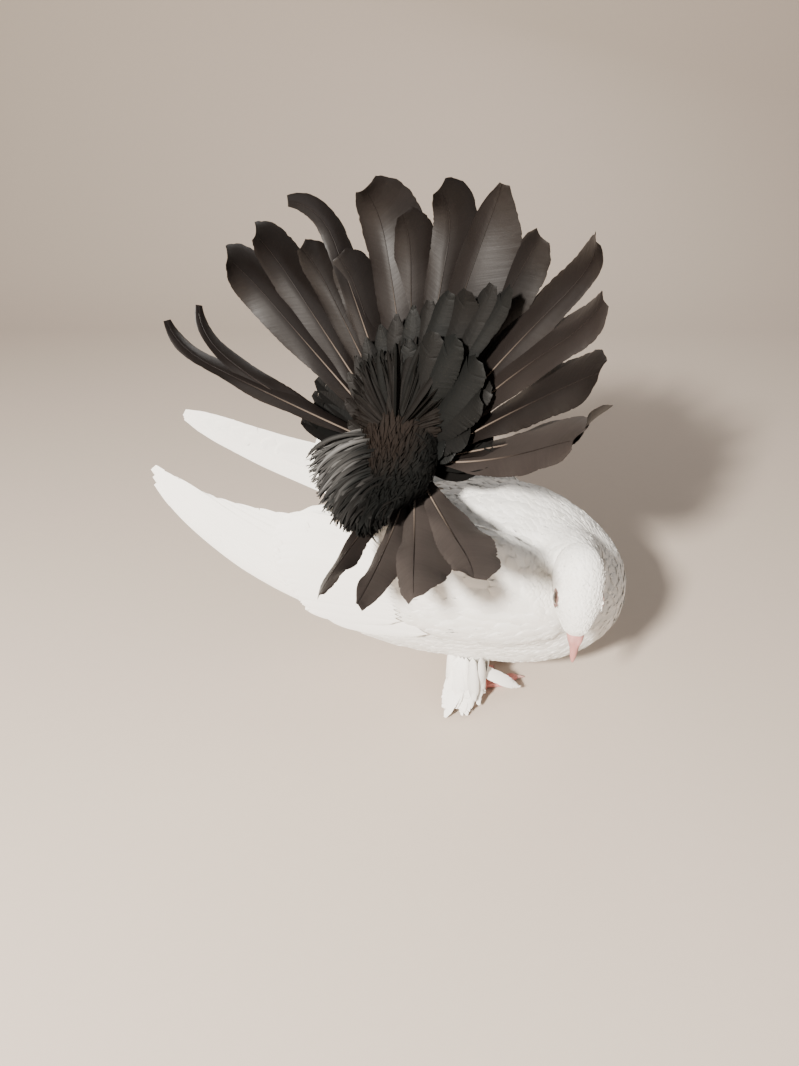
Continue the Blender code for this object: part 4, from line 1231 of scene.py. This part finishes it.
# Long feathers of each wing: sweep of the lowest in degrees, then stations for the roots and for the
# tips, from the lowest feather to the highest, as x, y and z
PRIMARIES = {
    "right": (20.0, ((-0.046, 0.0540, 0.073), (-0.058, 0.0515, 0.098), (-0.072, 0.0470, 0.126)),
              ((-0.1855, 0.0360, 0.1590), (-0.1862, 0.0360, 0.1695), (-0.1700, 0.0375, 0.1555),
               (-0.1500, 0.0390, 0.1470), (-0.1260, 0.0410, 0.1385))),
    "left": (3.0, ((-0.056, 0.0520, 0.098), (-0.062, 0.0500, 0.112), (-0.070, 0.0470, 0.130)),
             ((-0.1865, 0.0450, 0.1690), (-0.1870, 0.0450, 0.1725), (-0.1720, 0.0450, 0.1660),
              (-0.1500, 0.0450, 0.1565), (-0.1290, 0.0440, 0.1465))),
}
SECONDARIES = {
    "right": (0.0, ((-0.030, 0.0590, 0.071), (-0.034, 0.0580, 0.100), (-0.040, 0.0530, 0.130)),
              ((-0.0900, 0.0560, 0.0820), (-0.1050, 0.0555, 0.1000), (-0.1165, 0.0545, 0.1220),
               (-0.1150, 0.0525, 0.1380), (-0.1030, 0.0490, 0.1450))),
    "left": (0.0, ((-0.030, 0.0590, 0.071), (-0.034, 0.0580, 0.100), (-0.040, 0.0530, 0.130)),
             ((-0.0780, 0.0560, 0.0820), (-0.0860, 0.0555, 0.0990), (-0.0970, 0.0545, 0.1150),
              (-0.1130, 0.0525, 0.1330), (-0.1030, 0.0490, 0.1500))),
}
WING_COVERTS = {
    "right": (0.0, ((-0.046, 0.0630, 0.083), (-0.050, 0.0650, 0.108), (-0.056, 0.0610, 0.131)),
              ((-0.1020, 0.0590, 0.0905), (-0.1065, 0.0600, 0.0990), (-0.1130, 0.0600, 0.1085),
               (-0.1170, 0.0600, 0.1185), (-0.1185, 0.0595, 0.1290), (-0.1175, 0.0585, 0.1380),
               (-0.1120, 0.0565, 0.1455))),
    "left": (0.0, ((-0.008, 0.0630, 0.074), (-0.010, 0.0640, 0.100), (-0.014, 0.0590, 0.128)),
             ((-0.0660, 0.0620, 0.0790), (-0.0800, 0.0610, 0.0950), (-0.0880, 0.0590, 0.1120),
              (-0.0860, 0.0570, 0.1260), (-0.0760, 0.0530, 0.1380))),
}


# Tiers of a wing: stations, count and width of the feathers, outline and how much painted shade their rim takes
WING_TIERS = (
    (PRIMARIES, 10, 0.0190, "blade", 0.0), (SECONDARIES, 13, 0.0200, "covert", 0.0),
    (WING_COVERTS, 17, 0.0190, "covert", 0.095),
)
# Value of "dark" that the plumage takes for a wing's shaft
WING_SHAFT = 0.16


def between(stations, part):
    """A place on the line through evenly spaced stations."""
    table = np.array(stations, float)
    places = np.linspace(0, 1, len(table))
    return np.array([np.interp(part, places, table[:, axis]) for axis in range(3)])


class PIGEON_OT_wings(bpy.types.Operator):
    """Make the long feathers of both folded wings, with their shafts"""

    bl_idname = "pigeon.wings"
    bl_label = "Wing feathers"

    def execute(self, context):
        plumage = context.scene.pigeon_plumage
        draw = np.random.default_rng(plumage.seed + 1)
        material = bpy.data.materials["white_plumage"]
        for name, side in (("right", -1), ("left", 1)):
            leaves = Leaves()
            total = sum(tier[1] for tier in WING_TIERS) * 2
            index = 0
            for wings, count, width, outline, rim_shade in WING_TIERS:
                sweep, roots, tips = wings[name]
                for step in range(count):
                    part = step / (count - 1)
                    root, tip = between(roots, part), between(tips, part)
                    root[1] *= side
                    tip[1] *= side
                    outward = np.array((0.0, side, 0.0))
                    spine = Spine(root + SHIFT, tip + SHIFT, outward, lean=-side * 7.0, bow=-3.0,
                                  sweep=side * sweep * (1 - part / 2))
                    barbed_vane(leaves, spine, width, outline, draw, splits=1, ragged=0.03,
                                inner=0.5 + side * 0.12, cell=atlas_cell(index, total),
                                tone=draw.uniform(0.2, 0.9), flare=0.0002, thick=0.00035, camber=0.08, gap=0.1,
                                rim_shade=rim_shade)
                    if outline == "blade":
                        shaft_tube(leaves, spine, 0.0006, atlas_cell(index + 1, total), tone=0.1, dark=WING_SHAFT)
                    index += 2
            claim(leaves.build("wing_feathers_" + name, material), "white_plumage", "wing_" + name)
        return {"FINISHED"}


# Tail


def tail_spine(turn, length, bow, curl, hook, sweep, twist, centre):
    """The quill of one tail feather, tilted so that its inner edge lies over the next one."""
    lean = 0.0 if turn == FAN_MIDDLE else math.copysign(FAN_TILT, turn - FAN_MIDDLE)
    opening = FAN_OPENING + (math.radians(1.5) if turn == FAN_MIDDLE else 0.0)
    root = FAN_FOOT + fan_direction(centre + FAN_CROWDING * (turn - centre), FAN_OPENING) * FAN_INNER
    tip = FAN_FOOT + fan_direction(turn, opening) * length / 1000
    axis, up, front = fan_axes()
    across = front * math.cos(math.radians(turn)) - up * math.sin(math.radians(turn))
    face = unit(np.cross(tip - root, across))
    if face.dot(axis) < 0:
        face = -face
    return Spine(root, tip, face, lean=lean, bow=bow, curl=curl * 1.3, hook=hook * 1.15, sweep=sweep,
                 twist=twist, curl_from=0.75)


# First and last turn of each of the fan's parts, and the solids they stand for
TAIL_CENTRES = ((-86.0, -41.2), (-41.2, 15.0), (15.0, 72.5), (72.5, 104.0), (133.0, 186.0))
TAIL_NODES = ("tail_left", "tail_top_left", "tail_top_right", "tail_right", "tail_lower")


class PIGEON_OT_tail(bpy.types.Operator):
    """Make the long feathers of the fan, with their curled tips and pale shafts"""

    bl_idname = "pigeon.tail"
    bl_label = "Tail feathers"

    def execute(self, context):
        plumage = context.scene.pigeon_plumage
        draw = np.random.default_rng(plumage.seed + 2)
        vane_material = tail_plumage(plumage)
        shaft_material = shaft_horn(plumage)
        total = len(TAIL_FEATHERS)
        for node, (start, end) in zip(TAIL_NODES, TAIL_CENTRES):
            vanes = Leaves()
            shafts = Leaves()
            for index, (turn, length, width, *bends, tone, outline) in enumerate(TAIL_FEATHERS):
                if not start < turn < end:
                    continue
                spine = tail_spine(turn, length, *bends, (start + end) / 2)
                inner = 0.5 + math.copysign(0.14, turn - FAN_MIDDLE) if turn != FAN_MIDDLE else 0.5
                cell = atlas_cell(index, total)
                low = 1 if turn > 120 else 0
                barbed_vane(vanes, spine, width / 1000, outline, draw, splits=0, ragged=0.14 + 0.06 * low,
                            inner=inner, rows=90, columns=8, cell=cell, tone=tone, dark=1.0, flare=0.0003,
                            ripple=0.0014 + 0.0008 * low, camber=0.3, gap=0.03)
                shaft_tube(shafts, spine, 0.0007, cell, dark=1.0)
            claim(vanes.build(node + "_vanes", vane_material), "black_plumage", node)
            claim(shafts.build(node + "_shafts", shaft_material), "black_plumage")
        return {"FINISHED"}


def fan_place(front_by, up_by, height):
    """A place in the fan's own frame, in mm: to the bird's front, up the fan, and out along its axis."""
    axis, up, front = fan_axes()
    return FAN_FOOT + (front * front_by + up * up_by + axis * height) / 1000


# Stalk of the fan: share of its length and radius; and the grain and smoothing of the blended heart
STALK = ((0.0, 0.019), (0.35, 0.0165), (0.7, 0.0135), (1.0, 0.0125))
HEART_GRAIN = 0.0016
HEART_ROUNDS = 5


def heart_form():
    """The soft heart of the fan and the stalk that bears it, as one closed form."""
    axis, _, front = fan_axes()
    bm = bmesh.new()
    rings = []
    for up_by, front_by, half, height, depth in smooth_stations(HEART, 20):
        rings.append(circle(fan_place(front_by, up_by, height), front, axis, half / 1000, depth / 1000, 28))
    loft(bm, rings)
    stalk = bmesh.new()
    foot = bird_point(-0.044, 0.004, 0.120)
    head = fan_place(0, 0, 26)
    along = unit(head - foot)
    side = unit(np.cross(along, (0, 1, 0)))
    rings = []
    for part, radius in STALK:
        rings.append(circle(foot * (1 - part) + head * part, side, np.cross(along, side), radius, radius, 24))
    loft(stalk, rings)
    join_form(bm, stalk)
    return blend(bm, HEART_GRAIN, HEART_ROUNDS)


# How many feathers each kind of down has, and how many cells the map of the fan's back has
LONG_DOWN_COUNT = 820
BROAD_DOWN_COUNT = 40
LOOSE_DOWN_COUNT = 1100
BACK_CELLS = 70
# Distance between the roots of the heart's short down
DOWN_SPACING = 0.00115
# Rings of coverts on the fan's back: opening in degrees, reach and count
BACK_RINGS = ((49.0, 0.078, 26), (54.0, 0.062, 22), (62.0, 0.048, 18))


def covert(leaves, spine, width, draw, cell, heart, outline="covert", grid=(26, 5), **wear):
    """One soft feather of the fan's heart."""
    values = dict(splits=1, ragged=0.08, flare=0.0004, loose=0.00005, camber=0.3, thick=0.0003, gap=0.12)
    values.update(wear)
    barbed_vane(leaves, spine, width, outline, draw, rows=grid[0], columns=grid[1], cell=cell,
                tone=draw.uniform(0, 1), dark=heart, **values)


class PIGEON_OT_coverts(bpy.types.Operator):
    """Fill the fan with its soft coverts, cover its back, and hang loose down from its foot"""

    bl_idname = "pigeon.coverts"
    bl_label = "Tail coverts"

    def execute(self, context):
        plumage = context.scene.pigeon_plumage
        draw = np.random.default_rng(plumage.seed + 3)
        material = covert_plumage(plumage, "covert_plumage", 0.18)
        down = covert_plumage(plumage, "down_plumage", 0.08)
        core = object_from(heart_form(), "fan_heart", down)
        spots = places_of(core.data.vertices)
        set_values(core, "dark", self.heart_tone(spots))
        set_values(core, "tone", np.full(len(spots), 0.5))
        claim(core, "black_plumage", "tail_base")
        claim(self.long_coverts(draw).build("under_coverts", material), "black_plumage")
        claim(self.long_down(draw).build("long_down", down), "black_plumage")
        claim(self.back_coverts(draw).build("back_coverts", material), "black_plumage")
        claim(self.loose_down(draw).build("loose_down", down), "black_plumage")
        claim(self.heart_down(core, draw).build("heart_down", down), "black_plumage")
        return {"FINISHED"}

    def heart_tone(self, spots):
        """0 in the brown middle of the heart, 1 in the black round it."""
        centre = fan_place(-6, -6, 46)
        _, up, front = fan_axes()
        offset = spots - centre
        reach = np.hypot(offset @ front / 0.020, (offset @ up) / 0.034)
        return np.clip((reach - 0.3) / 0.9, 0, 1)

    def long_coverts(self, draw):
        leaves = Leaves()
        axis = fan_axes()[0]
        for index, (turn, reach, width, opening, sweep, curl) in enumerate(COVERTS):
            spread = fan_spread(turn)
            root = fan_place(-3, -2, 26 + (40 - opening) * 0.35) + spread * 0.012
            tip = FAN_FOOT + fan_direction(turn, math.radians(opening)) * reach / 1000
            spine = Spine(root, tip, axis + spread * 0.3, lean=math.copysign(6.0, turn - FAN_MIDDLE),
                          bow=draw.uniform(-9, -4), sweep=sweep, curl=curl, twist=draw.uniform(-8, 8))
            covert(leaves, spine, width / 1000, draw, atlas_cell(index, len(COVERTS)),
                   np.interp(turn, (-60, 0), (0.5, 1)), outline="pointed" if turn < 5 else "round",
                   grid=(70, 8), splits=1, ragged=0.22, gap=0.05)
        return leaves

    def long_down(self, draw):
        """Long hair-like down that runs from the heart up over the coverts, densest on the left."""
        leaves = Leaves()
        axis = fan_axes()[0]
        turns, reaches = np.array(COVERT_REACH).T
        for index in range(LONG_DOWN_COUNT):
            turn = draw.uniform(-80, 84)
            spread = fan_spread(turn)
            reach = np.interp(turn, turns, reaches) * np.interp(turn, (-40, 15, 40, 80), (0.98, 0.8, 0.55, 0.75))
            reach = reach * draw.uniform(np.interp(turn, (0, 30), (0.55, 0.35)), 1.0)
            foot = fan_place(-3, 2, 42) + spread * draw.uniform(0.004, 0.024) + axis * draw.uniform(-0.004, 0.002)
            opening = math.radians(np.interp(reach, (30, 100), (25, 39.5)) + draw.uniform(-1.5, 1.5))
            tip = FAN_FOOT + fan_direction(turn, opening) * reach / 1000
            spine = Spine(foot, tip, axis, lean=draw.uniform(-40, 40), bow=draw.uniform(-10, 4),
                          sweep=draw.uniform(-14, 14))
            covert(leaves, spine, draw.uniform(0.0016, 0.0046), draw, atlas_cell(index, LONG_DOWN_COUNT),
                   np.clip(reach / 70 - 0.3, 0, 1), outline="blade", grid=(12, 3), splits=0, ragged=0.3)
        return leaves

    def back_coverts(self, draw):
        leaves = Leaves()
        axis = fan_axes()[0]
        index = 0
        for ring, (opening, reach, count) in enumerate(BACK_RINGS):
            for step in range(count):
                turn = -92 + 200 * (step + 0.5 * (ring % 2)) / count + draw.uniform(-3, 3)
                root = FAN_FOOT + fan_direction(turn, math.radians(opening - 3)) * 0.014
                tip = FAN_FOOT + fan_direction(turn, math.radians(opening)) * reach * draw.uniform(0.92, 1.06)
                spine = Spine(root, tip, -axis, bow=-5.0, sweep=draw.uniform(-5, 5))
                covert(leaves, spine, 0.016, draw, atlas_cell(index, BACK_CELLS), 0.9, grid=(18, 4))
                index += 1
        return leaves

    def loose_down(self, draw):
        """Grey-tipped down hanging from the heart's left and its foot, the grey partly painted sheen, most on the
        upper down.
        """
        leaves = Leaves()
        axis = fan_axes()[0]
        stations = np.array(LOOSE_DOWN, float)
        places = np.linspace(0, 1, len(stations))
        for index in range(BROAD_DOWN_COUNT):
            part = (index % 20) / 19
            values = np.array([np.interp(part, places, stations[:, i]) for i in range(6)])
            values[3:] = values[:3] + (values[3:] - values[:3]) * draw.uniform(0.5, 0.85) + draw.normal(0, 1.5, 3)
            spine = Spine(fan_place(*values[:3]), fan_place(*values[3:]), axis, lean=draw.uniform(-20, 20),
                          bow=draw.uniform(-14, -4), sweep=draw.uniform(10, 30))
            covert(leaves, spine, 0.0085, draw, atlas_cell(index, BROAD_DOWN_COUNT), 1.1, grid=(24, 5),
                   splits=2, ragged=0.3, gap=0.15)
        for index in range(LOOSE_DOWN_COUNT):
            part = draw.uniform(0, 1)
            values = np.array([np.interp(part, places, stations[:, i]) for i in range(6)])
            along = values[3:] - values[:3]
            values[:3] += along * draw.uniform(-0.2, 0.3) + draw.normal(0, 1.8, 3)
            values[3:] += along * draw.uniform(-0.40, 0.10) + draw.normal(0, 1.5, 3)
            spine = Spine(fan_place(*values[:3]), fan_place(*values[3:]), axis, lean=draw.uniform(-45, 45),
                          bow=draw.uniform(-18, -2), sweep=draw.uniform(8, 46), curl=draw.uniform(-20, 30))
            # Grey of the tips, partly the down's own and partly painted sheen, strongest on the upper strands
            grey = draw.uniform(0.3, 0.75) * np.interp(part, (0.2, 0.5, 0.9), (1, 0.6, 0.35))
            covert(leaves, spine, draw.uniform(0.0010, 0.0028), draw, atlas_cell(index, LOOSE_DOWN_COUNT),
                   0.9 + grey, outline="blade", grid=(13, 3), splits=0, ragged=0.3)
        return leaves

    def heart_down(self, core, draw):
        """Short, narrow down over the heart, combed up the fan."""
        axis, up, front = fan_axes()
        points = places_of(core.data.vertices)
        normals = normals_of(core.data.vertices)
        chosen = thin_out(points, np.full(len(points), DOWN_SPACING), draw)
        points, normals = points[chosen], normals[chosen]
        side = (points - fan_place(0, 0, 40)) @ front
        way = up + np.outer(side / 0.030, front) + axis * 0.25 + draw.normal(0, 0.20, points.shape)
        way = unit(way - normals * np.sum(way * normals, axis=1)[:, None])
        tree = surface_tree(core)
        high = np.clip((points - fan_place(0, -20, 40)) @ up / 0.045, 0, 1)
        length = draw.uniform(0.012, 0.018, len(points)) * (1 + 0.9 * high)
        rise = draw.uniform(0.0006, 0.0026, len(points)) * (1 + high)
        leaves = Leaves()
        strands = lay_feathers(tree, points, normals, way, length, length * 0.085, rise, draw, NARROW_COLUMNS)
        part = np.stack(np.meshgrid(NARROW_COLUMNS / 2 + 0.5, BODY_ROWS), -1)
        offset = points - fan_place(0, 0, 40)
        patch = np.stack([0.5 + offset @ front / 0.16, 0.5 + offset @ up / 0.16], 1)
        patch[:, 0] += 0.25 * np.sign(normals @ axis)
        bake = patch[:, None, None] * 0.5 + 0.25 + (part[None] - 0.5) * PATCH
        vane = part[None] * np.array((1.0, 0.014))
        leaves.add(strands, 0.0002, vane, bake, draw.uniform(0.1, 0.6, len(points)), self.heart_tone(points))
        return leaves


# Eyes, bill and feet


# Ring of bare lid: radii and how far out from the eyeball's middle; and how much longer than tall it is
LID_PROFILE = (
    (0.0041, 0.0029), (0.0043, 0.0036), (0.0047, 0.0039), (0.0052, 0.0037), (0.0056, 0.0030), (0.0050, 0.0024),
)
LID_OVAL = 1.06


class PIGEON_OT_eyes(bpy.types.Operator):
    """Make both eyeballs with iris and pupil, and the ring of bare lid round each"""

    bl_idname = "pigeon.eyes"
    bl_label = "Eyes"

    def execute(self, context):
        head = context.scene.pigeon_head
        forward, right, crown = head_axes()
        glass = eye_glass(head)
        skin = lid_skin(head)
        for name, side in (("right", 1), ("left", -1)):
            centre = head_point(EYE_PLACE[0], side * EYE_PLACE[1], EYE_PLACE[2])
            ball = bmesh.new()
            bmesh.ops.create_uvsphere(ball, u_segments=40, v_segments=24, radius=head.eye_radius)
            turn = Matrix((Vector(forward), Vector(crown), Vector(right) * side)).transposed()
            bmesh.ops.rotate(ball, verts=ball.verts[:], cent=(0, 0, 0), matrix=turn)
            bmesh.ops.translate(ball, verts=ball.verts[:], vec=centre)
            item = object_from(ball, "eyeball_" + name, glass)
            places = places_of(item.data.vertices) - centre
            ring = np.linalg.norm(places - np.outer(places @ right, right), axis=1) / head.eye_radius
            set_values(item, "tone", ring)
            claim(item, "eye", "eye_" + name)
            lid = bmesh.new()
            rings = []
            for radius, out in LID_PROFILE:
                rings.append(circle(centre + right * side * out, forward, crown, radius * LID_OVAL, radius, 36))
            loft(lid, rings, close=False)
            edges = [edge for edge in lid.edges if edge.is_boundary]
            bmesh.ops.bridge_loops(lid, edges=edges)
            claim(object_from(lid, "lid_" + name, skin), "bill")
        return {"FINISHED"}


# Half the bill's width at shares of its length
BILL_HALF_WIDTHS = (
    (0.0, 0.0049), (0.15, 0.0044), (0.30, 0.0034), (0.45, 0.0026), (0.60, 0.0022), (0.80, 0.0017), (0.93, 0.0011),
    (1.0, 0.0005),
)
# Where the bill's rings stand, as shares of its length
BILL_PARTS = (-0.15, 0.0, 0.08, 0.18, 0.28, 0.36, 0.44, 0.55, 0.68, 0.80, 0.90, 0.96, 1.0)


class PIGEON_OT_bill(bpy.types.Operator):
    """Make both halves of the bill, with the flaps over the nostrils"""

    bl_idname = "pigeon.bill"
    bl_label = "Bill"

    def execute(self, context):
        head = context.scene.pigeon_head
        horn = bill_horn(head)
        for name, top in (("upper", True), ("lower", False)):
            bm = bmesh.new()
            self.half(bm, head, top)
            item = object_from(bm, "bill_" + name + "_horn", horn)
            places = places_of(item.data.vertices) - head_point(0, 0, 0)
            set_values(item, "tone", places @ head_axes()[0] / head.bill_length)
            claim(item, "bill", "bill_" + name)
        return {"FINISHED"}

    def half(self, bm, head, top):
        """One half, its rings round above or below the flat line of the mouth."""
        _, right, crown = head_axes()
        share = 1.0 if top else 0.93
        rings = []
        for part in BILL_PARTS:
            rest = max(part, 0.0)
            wide = float(np.interp(rest, *zip(*BILL_HALF_WIDTHS)))
            tall = (0.0040 if top else 0.0028) * (1 - 0.8 * rest)
            swell = math.exp(-((rest - 0.22) / 0.14) ** 2) if top else 0.0
            nostril = math.exp(-((rest - 0.40) / 0.05) ** 2) if top else 0.0
            centre = head_point(-part * head.bill_length * share, 0, -0.0006 - 0.0016 * rest ** 2)
            points = []
            for step in range(28):
                angle = 2 * math.pi * step / 28
                lift = math.sin(angle)
                flap = swell * 0.0011 * math.exp(-((abs(math.cos(angle)) - 0.55) / 0.25) ** 2)
                slot = nostril * 0.0007 * math.exp(-((abs(math.cos(angle)) - 0.80) / 0.12) ** 2)
                if lift > 0:
                    lift = lift * tall + 0.00012
                else:
                    lift = lift * 0.0002 + 0.00012
                out = right * math.cos(angle) * wide + crown * lift * (1 if top else -1)
                outward = right * math.cos(angle) + crown * math.sin(angle) * (1 if top else -1)
                points.append(centre + out + outward * (flap - slot) * (math.sin(angle) > 0))
            rings.append(points)
        loft(bm, rings)


# Toes: heading in degrees, outward, and length; then where they begin on the foot, and the profiles of a
# toe and its claw: part of the length, half the width, and height of the middle as shares of the radius
TOES = ((5.0, 0.036), (-36.0, 0.028), (15.0, 0.0255), (180.0, 0.0205))
TOE_SHIFT = np.array((0.005, 0.005, 0.0))
TOE_PROFILE = (
    (0.0, 1.0, 0.95), (0.10, 0.90, 0.85), (0.22, 0.86, 0.80), (0.32, 0.97, 0.92), (0.42, 0.96, 0.90),
    (0.52, 0.78, 0.74), (0.62, 0.86, 0.82), (0.72, 0.84, 0.80), (0.79, 0.62, 0.70), (0.83, 0.30, 0.60),
)
CLAW_PROFILE = ((0.76, 0.42, 0.66), (0.82, 0.40, 0.66), (0.88, 0.32, 0.60), (0.94, 0.20, 0.44), (0.99, 0.07, 0.20))
# Pad under the shank: heights and radii
PAD = ((0.0, 0.0060), (0.0012, 0.0074), (0.004, 0.0072), (0.009, 0.0056), (0.0132, 0.0046))


class PIGEON_OT_feet(bpy.types.Operator):
    """Make the scaly toes with their claws and pads"""

    bl_idname = "pigeon.feet"
    bl_label = "Feet"

    def execute(self, context):
        feet = context.scene.pigeon_feet
        skin = toe_skin(feet)
        horn = claw_horn(feet)
        radius = feet.toe_radius
        for name, side in (("right", -1), ("left", 1)):
            origin = bird_point(0, side * FOOT_Y, 0) + TOE_SHIFT * (1, -side, 1)
            toes = bmesh.new()
            claws = bmesh.new()
            for turn, length in TOES:
                heading = math.radians(turn * side + FOOT_YAW[side])
                along = np.array((math.cos(heading), math.sin(heading), 0))
                across = np.array((-math.sin(heading), math.cos(heading), 0))
                for form, profile, count in ((toes, TOE_PROFILE, 18), (claws, CLAW_PROFILE, 12)):
                    rings = []
                    for part, share, height in smooth_stations(profile, len(profile) * 3):
                        centre = origin + along * length * part + np.array((0, 0, radius * height * 0.98))
                        scute = 1 + (0.05 * math.sin(part * 95) if form is toes else 0)
                        rings.append(circle(centre, across, UP, radius * share, radius * share * scute, count))
                    piece = bmesh.new()
                    loft(piece, rings)
                    for vert in piece.verts:
                        vert.co.z = max(vert.co.z, 0.0)
                    join_form(form, piece)
            pad = bmesh.new()
            rings = []
            for height, wide in PAD:
                rings.append(circle(origin + UP * height, FORWARD, LEFT, wide, wide, 24))
            loft(pad, rings)
            join_form(toes, pad)
            claim(object_from(toes, "toes_" + name, skin), "foot_skin", "foot_" + name)
            claim(object_from(claws, "claws_" + name, horn), "foot_skin")
        return {"FINISHED"}


# Foot feathers: heading in degrees, with those past FORE to the front, reach, and height of the tip
FORE = -30
MUFF = (
    (-150, 0.0215, 0.0055), (-134, 0.0265, 0.0035), (-124, 0.0325, 0.0025), (-110, 0.0285, 0.0025),
    (-94, 0.0265, 0.0020), (-76, 0.0205, 0.0040), (-56, 0.0150, 0.0095), (-10, 0.0330, 0.0065),
)
# Layers of the muffs: share of the reach, height of the roots and how far out they stand
MUFF_LAYERS = ((1.0, 0.0275, 0.007), (0.88, 0.0350, 0.012), (0.74, 0.0400, 0.0155))


class PIGEON_OT_muffs(bpy.types.Operator):
    """Make the feathers that hang over both feet"""

    bl_idname = "pigeon.muffs"
    bl_label = "Foot feathers"

    def execute(self, context):
        plumage = context.scene.pigeon_plumage
        draw = np.random.default_rng(plumage.seed + 4)
        material = bpy.data.materials["white_plumage"]
        for name, side in (("right", -1), ("left", 1)):
            origin = bird_point(0, side * FOOT_Y, 0)
            leaves = Leaves()
            total = len(MUFF) * len(MUFF_LAYERS)
            index = 0
            for layer, (size, root_height, out) in enumerate(MUFF_LAYERS):
                for heading, reach, height in MUFF:
                    if layer and heading > FORE:
                        continue
                    heading = heading + draw.uniform(-6, 6) + layer * 7
                    turn = math.radians(heading) * -side
                    outward = np.array((math.cos(turn), math.sin(turn), 0))
                    fore = heading > FORE
                    root = origin + outward * out + np.array((-0.002, 0, root_height))
                    face = np.array((0, 0, 1.0)) + outward * 0.2
                    if fore:
                        root = origin + np.array((0.0, side * 0.0070, 0.0275))
                        face = np.array((0, side * 1.0, 1.0))
                    reach = reach * (1 if fore else draw.uniform(0.9, 1.06))
                    tip = origin + outward * reach * size + np.array((0, 0, height + layer * 0.0035))
                    spine = Spine(root, tip, face, bow=-12.0, sweep=draw.uniform(-12, 12))
                    wide = 0.0092 if fore else draw.uniform(0.0080, 0.0100)
                    barbed_vane(leaves, spine, wide, "muff", draw, splits=4, ragged=0.35,
                                rows=30, columns=5, cell=atlas_cell(index, total), tone=draw.uniform(0.2, 1),
                                flare=0.0006, camber=0.25, thick=0.00025)
                    index += 1
            claim(leaves.build("muff_" + name, material), "white_plumage", "leg_" + name)
        return {"FINISHED"}


# Stage

# The photo's camera: sensor in mm, focal length and height of the photo in pixels, place beside the bird
SENSOR = 36.0
FOCAL = 810
PHOTO_TALL = 1066
CAMERA_PLACE = (-0.04715, -0.45547)
# Lamps: name, place, size, power and colour
LAMPS = (
    ("key", (-0.56, -1.08, 0.84), 0.14, 86, (1.0, 0.945, 0.87)),
    ("fill", (1.1, -0.9, 0.9), 1.0, 3.5, (0.96, 0.97, 1.0)),
    ("back", (0.3, 1.2, 1.0), 0.9, 6, (1.0, 1.0, 1.0)),
)

class PIGEON_OT_stage(bpy.types.Operator):
    """Set the camera, the soft lights and the pale floor"""

    bl_idname = "pigeon.stage"
    bl_label = "Stage"

    def execute(self, context):
        stage = context.scene.pigeon_stage
        scene = context.scene
        data = bpy.data.cameras.new("camera")
        data.sensor_width = SENSOR
        data.lens = SENSOR * FOCAL / PHOTO_TALL
        data.clip_start = 0.01
        camera = place_object("camera", data)
        camera.location = bird_point(*CAMERA_PLACE, stage.camera_height)
        camera.rotation_euler = (math.pi / 2 - stage.camera_pitch, 0, 0)
        scene.camera = camera
        self.floor(stage)
        for lamp in LAMPS:
            self.lamp(*lamp, bird_point(0.0, 0.0, 0.13))
        world = bpy.data.worlds.new("studio")
        world.use_nodes = True
        background = world.node_tree.nodes["Background"]
        background.inputs["Color"].default_value = (1.0, 0.98, 0.96, 1.0)
        background.inputs["Strength"].default_value = 0.19
        scene.world = world
        return {"FINISHED"}

    def floor(self, stage):
        """A floor that sweeps up to a backdrop behind the bird."""
        bm = bmesh.new()
        profile = [(-3.0, 0.0), (1.0, 0.0)]
        for step in range(1, 9):
            angle = math.pi / 2 * step / 8
            profile.append((1.0 + 0.6 * math.sin(angle), 0.6 * (1 - math.cos(angle))))
        profile.append((1.6, 3.0))
        points = [bm.verts.new((-3.0, y, z)) for y, z in profile]
        edges = [bm.edges.new(pair) for pair in zip(points, points[1:])]
        made = bmesh.ops.extrude_edge_only(bm, edges=edges)["geom"]
        bmesh.ops.translate(bm, verts=[v for v in made if isinstance(v, bmesh.types.BMVert)], vec=(6.0, 0, 0))
        item = object_from(bm, "floor", floor_paper(stage))
        if item.data.polygons[0].normal.z < 0:
            item.data.flip_normals()

    def lamp(self, name, place, size, power, tint_colour, target):
        data = bpy.data.lights.new(name, "AREA")
        data.shape = "DISK"
        data.size = size
        data.energy = power
        data.color = tint_colour
        lamp = place_object(name, data)
        lamp.location = place
        lamp.rotation_euler = (Vector(target) - Vector(place)).to_track_quat("-Z", "Y").to_euler()


class PIGEON_PT_panel(bpy.types.Panel):
    """Lists the pigeon's pieces, sizes and colours"""

    bl_idname = "PIGEON_PT_panel"
    bl_label = "Fantail Pigeon"
    bl_space_type = "VIEW_3D"
    bl_region_type = "UI"
    bl_category = "Pigeon"

    def draw(self, context):
        for operator in OPERATORS:
            self.layout.operator(operator.bl_idname)
        for name, group in GROUPS.items():
            box = self.layout.box()
            for prop in group.__annotations__:
                box.prop(getattr(context.scene, name), prop)


OPERATORS = (
    PIGEON_OT_stage, PIGEON_OT_skin, PIGEON_OT_coat, PIGEON_OT_wings, PIGEON_OT_tail, PIGEON_OT_coverts,
    PIGEON_OT_eyes, PIGEON_OT_bill, PIGEON_OT_feet, PIGEON_OT_muffs,
)


def register():
    for kind in (*GROUPS.values(), *OPERATORS, PIGEON_PT_panel):
        bpy.utils.register_class(kind)
    for name, group in GROUPS.items():
        setattr(bpy.types.Scene, name, PointerProperty(type=group))


def unregister():
    for name in GROUPS:
        delattr(bpy.types.Scene, name)
    for kind in (PIGEON_PT_panel, *reversed(OPERATORS), *GROUPS.values()):
        bpy.utils.unregister_class(kind)


def main():
    register()
    bpy.ops.pigeon.stage()
    bpy.ops.pigeon.skin()
    bpy.ops.pigeon.coat()
    bpy.ops.pigeon.wings()
    bpy.ops.pigeon.tail()
    bpy.ops.pigeon.coverts()
    bpy.ops.pigeon.eyes()
    bpy.ops.pigeon.bill()
    bpy.ops.pigeon.feet()
    bpy.ops.pigeon.muffs()


if __name__ == "__main__":
    main()
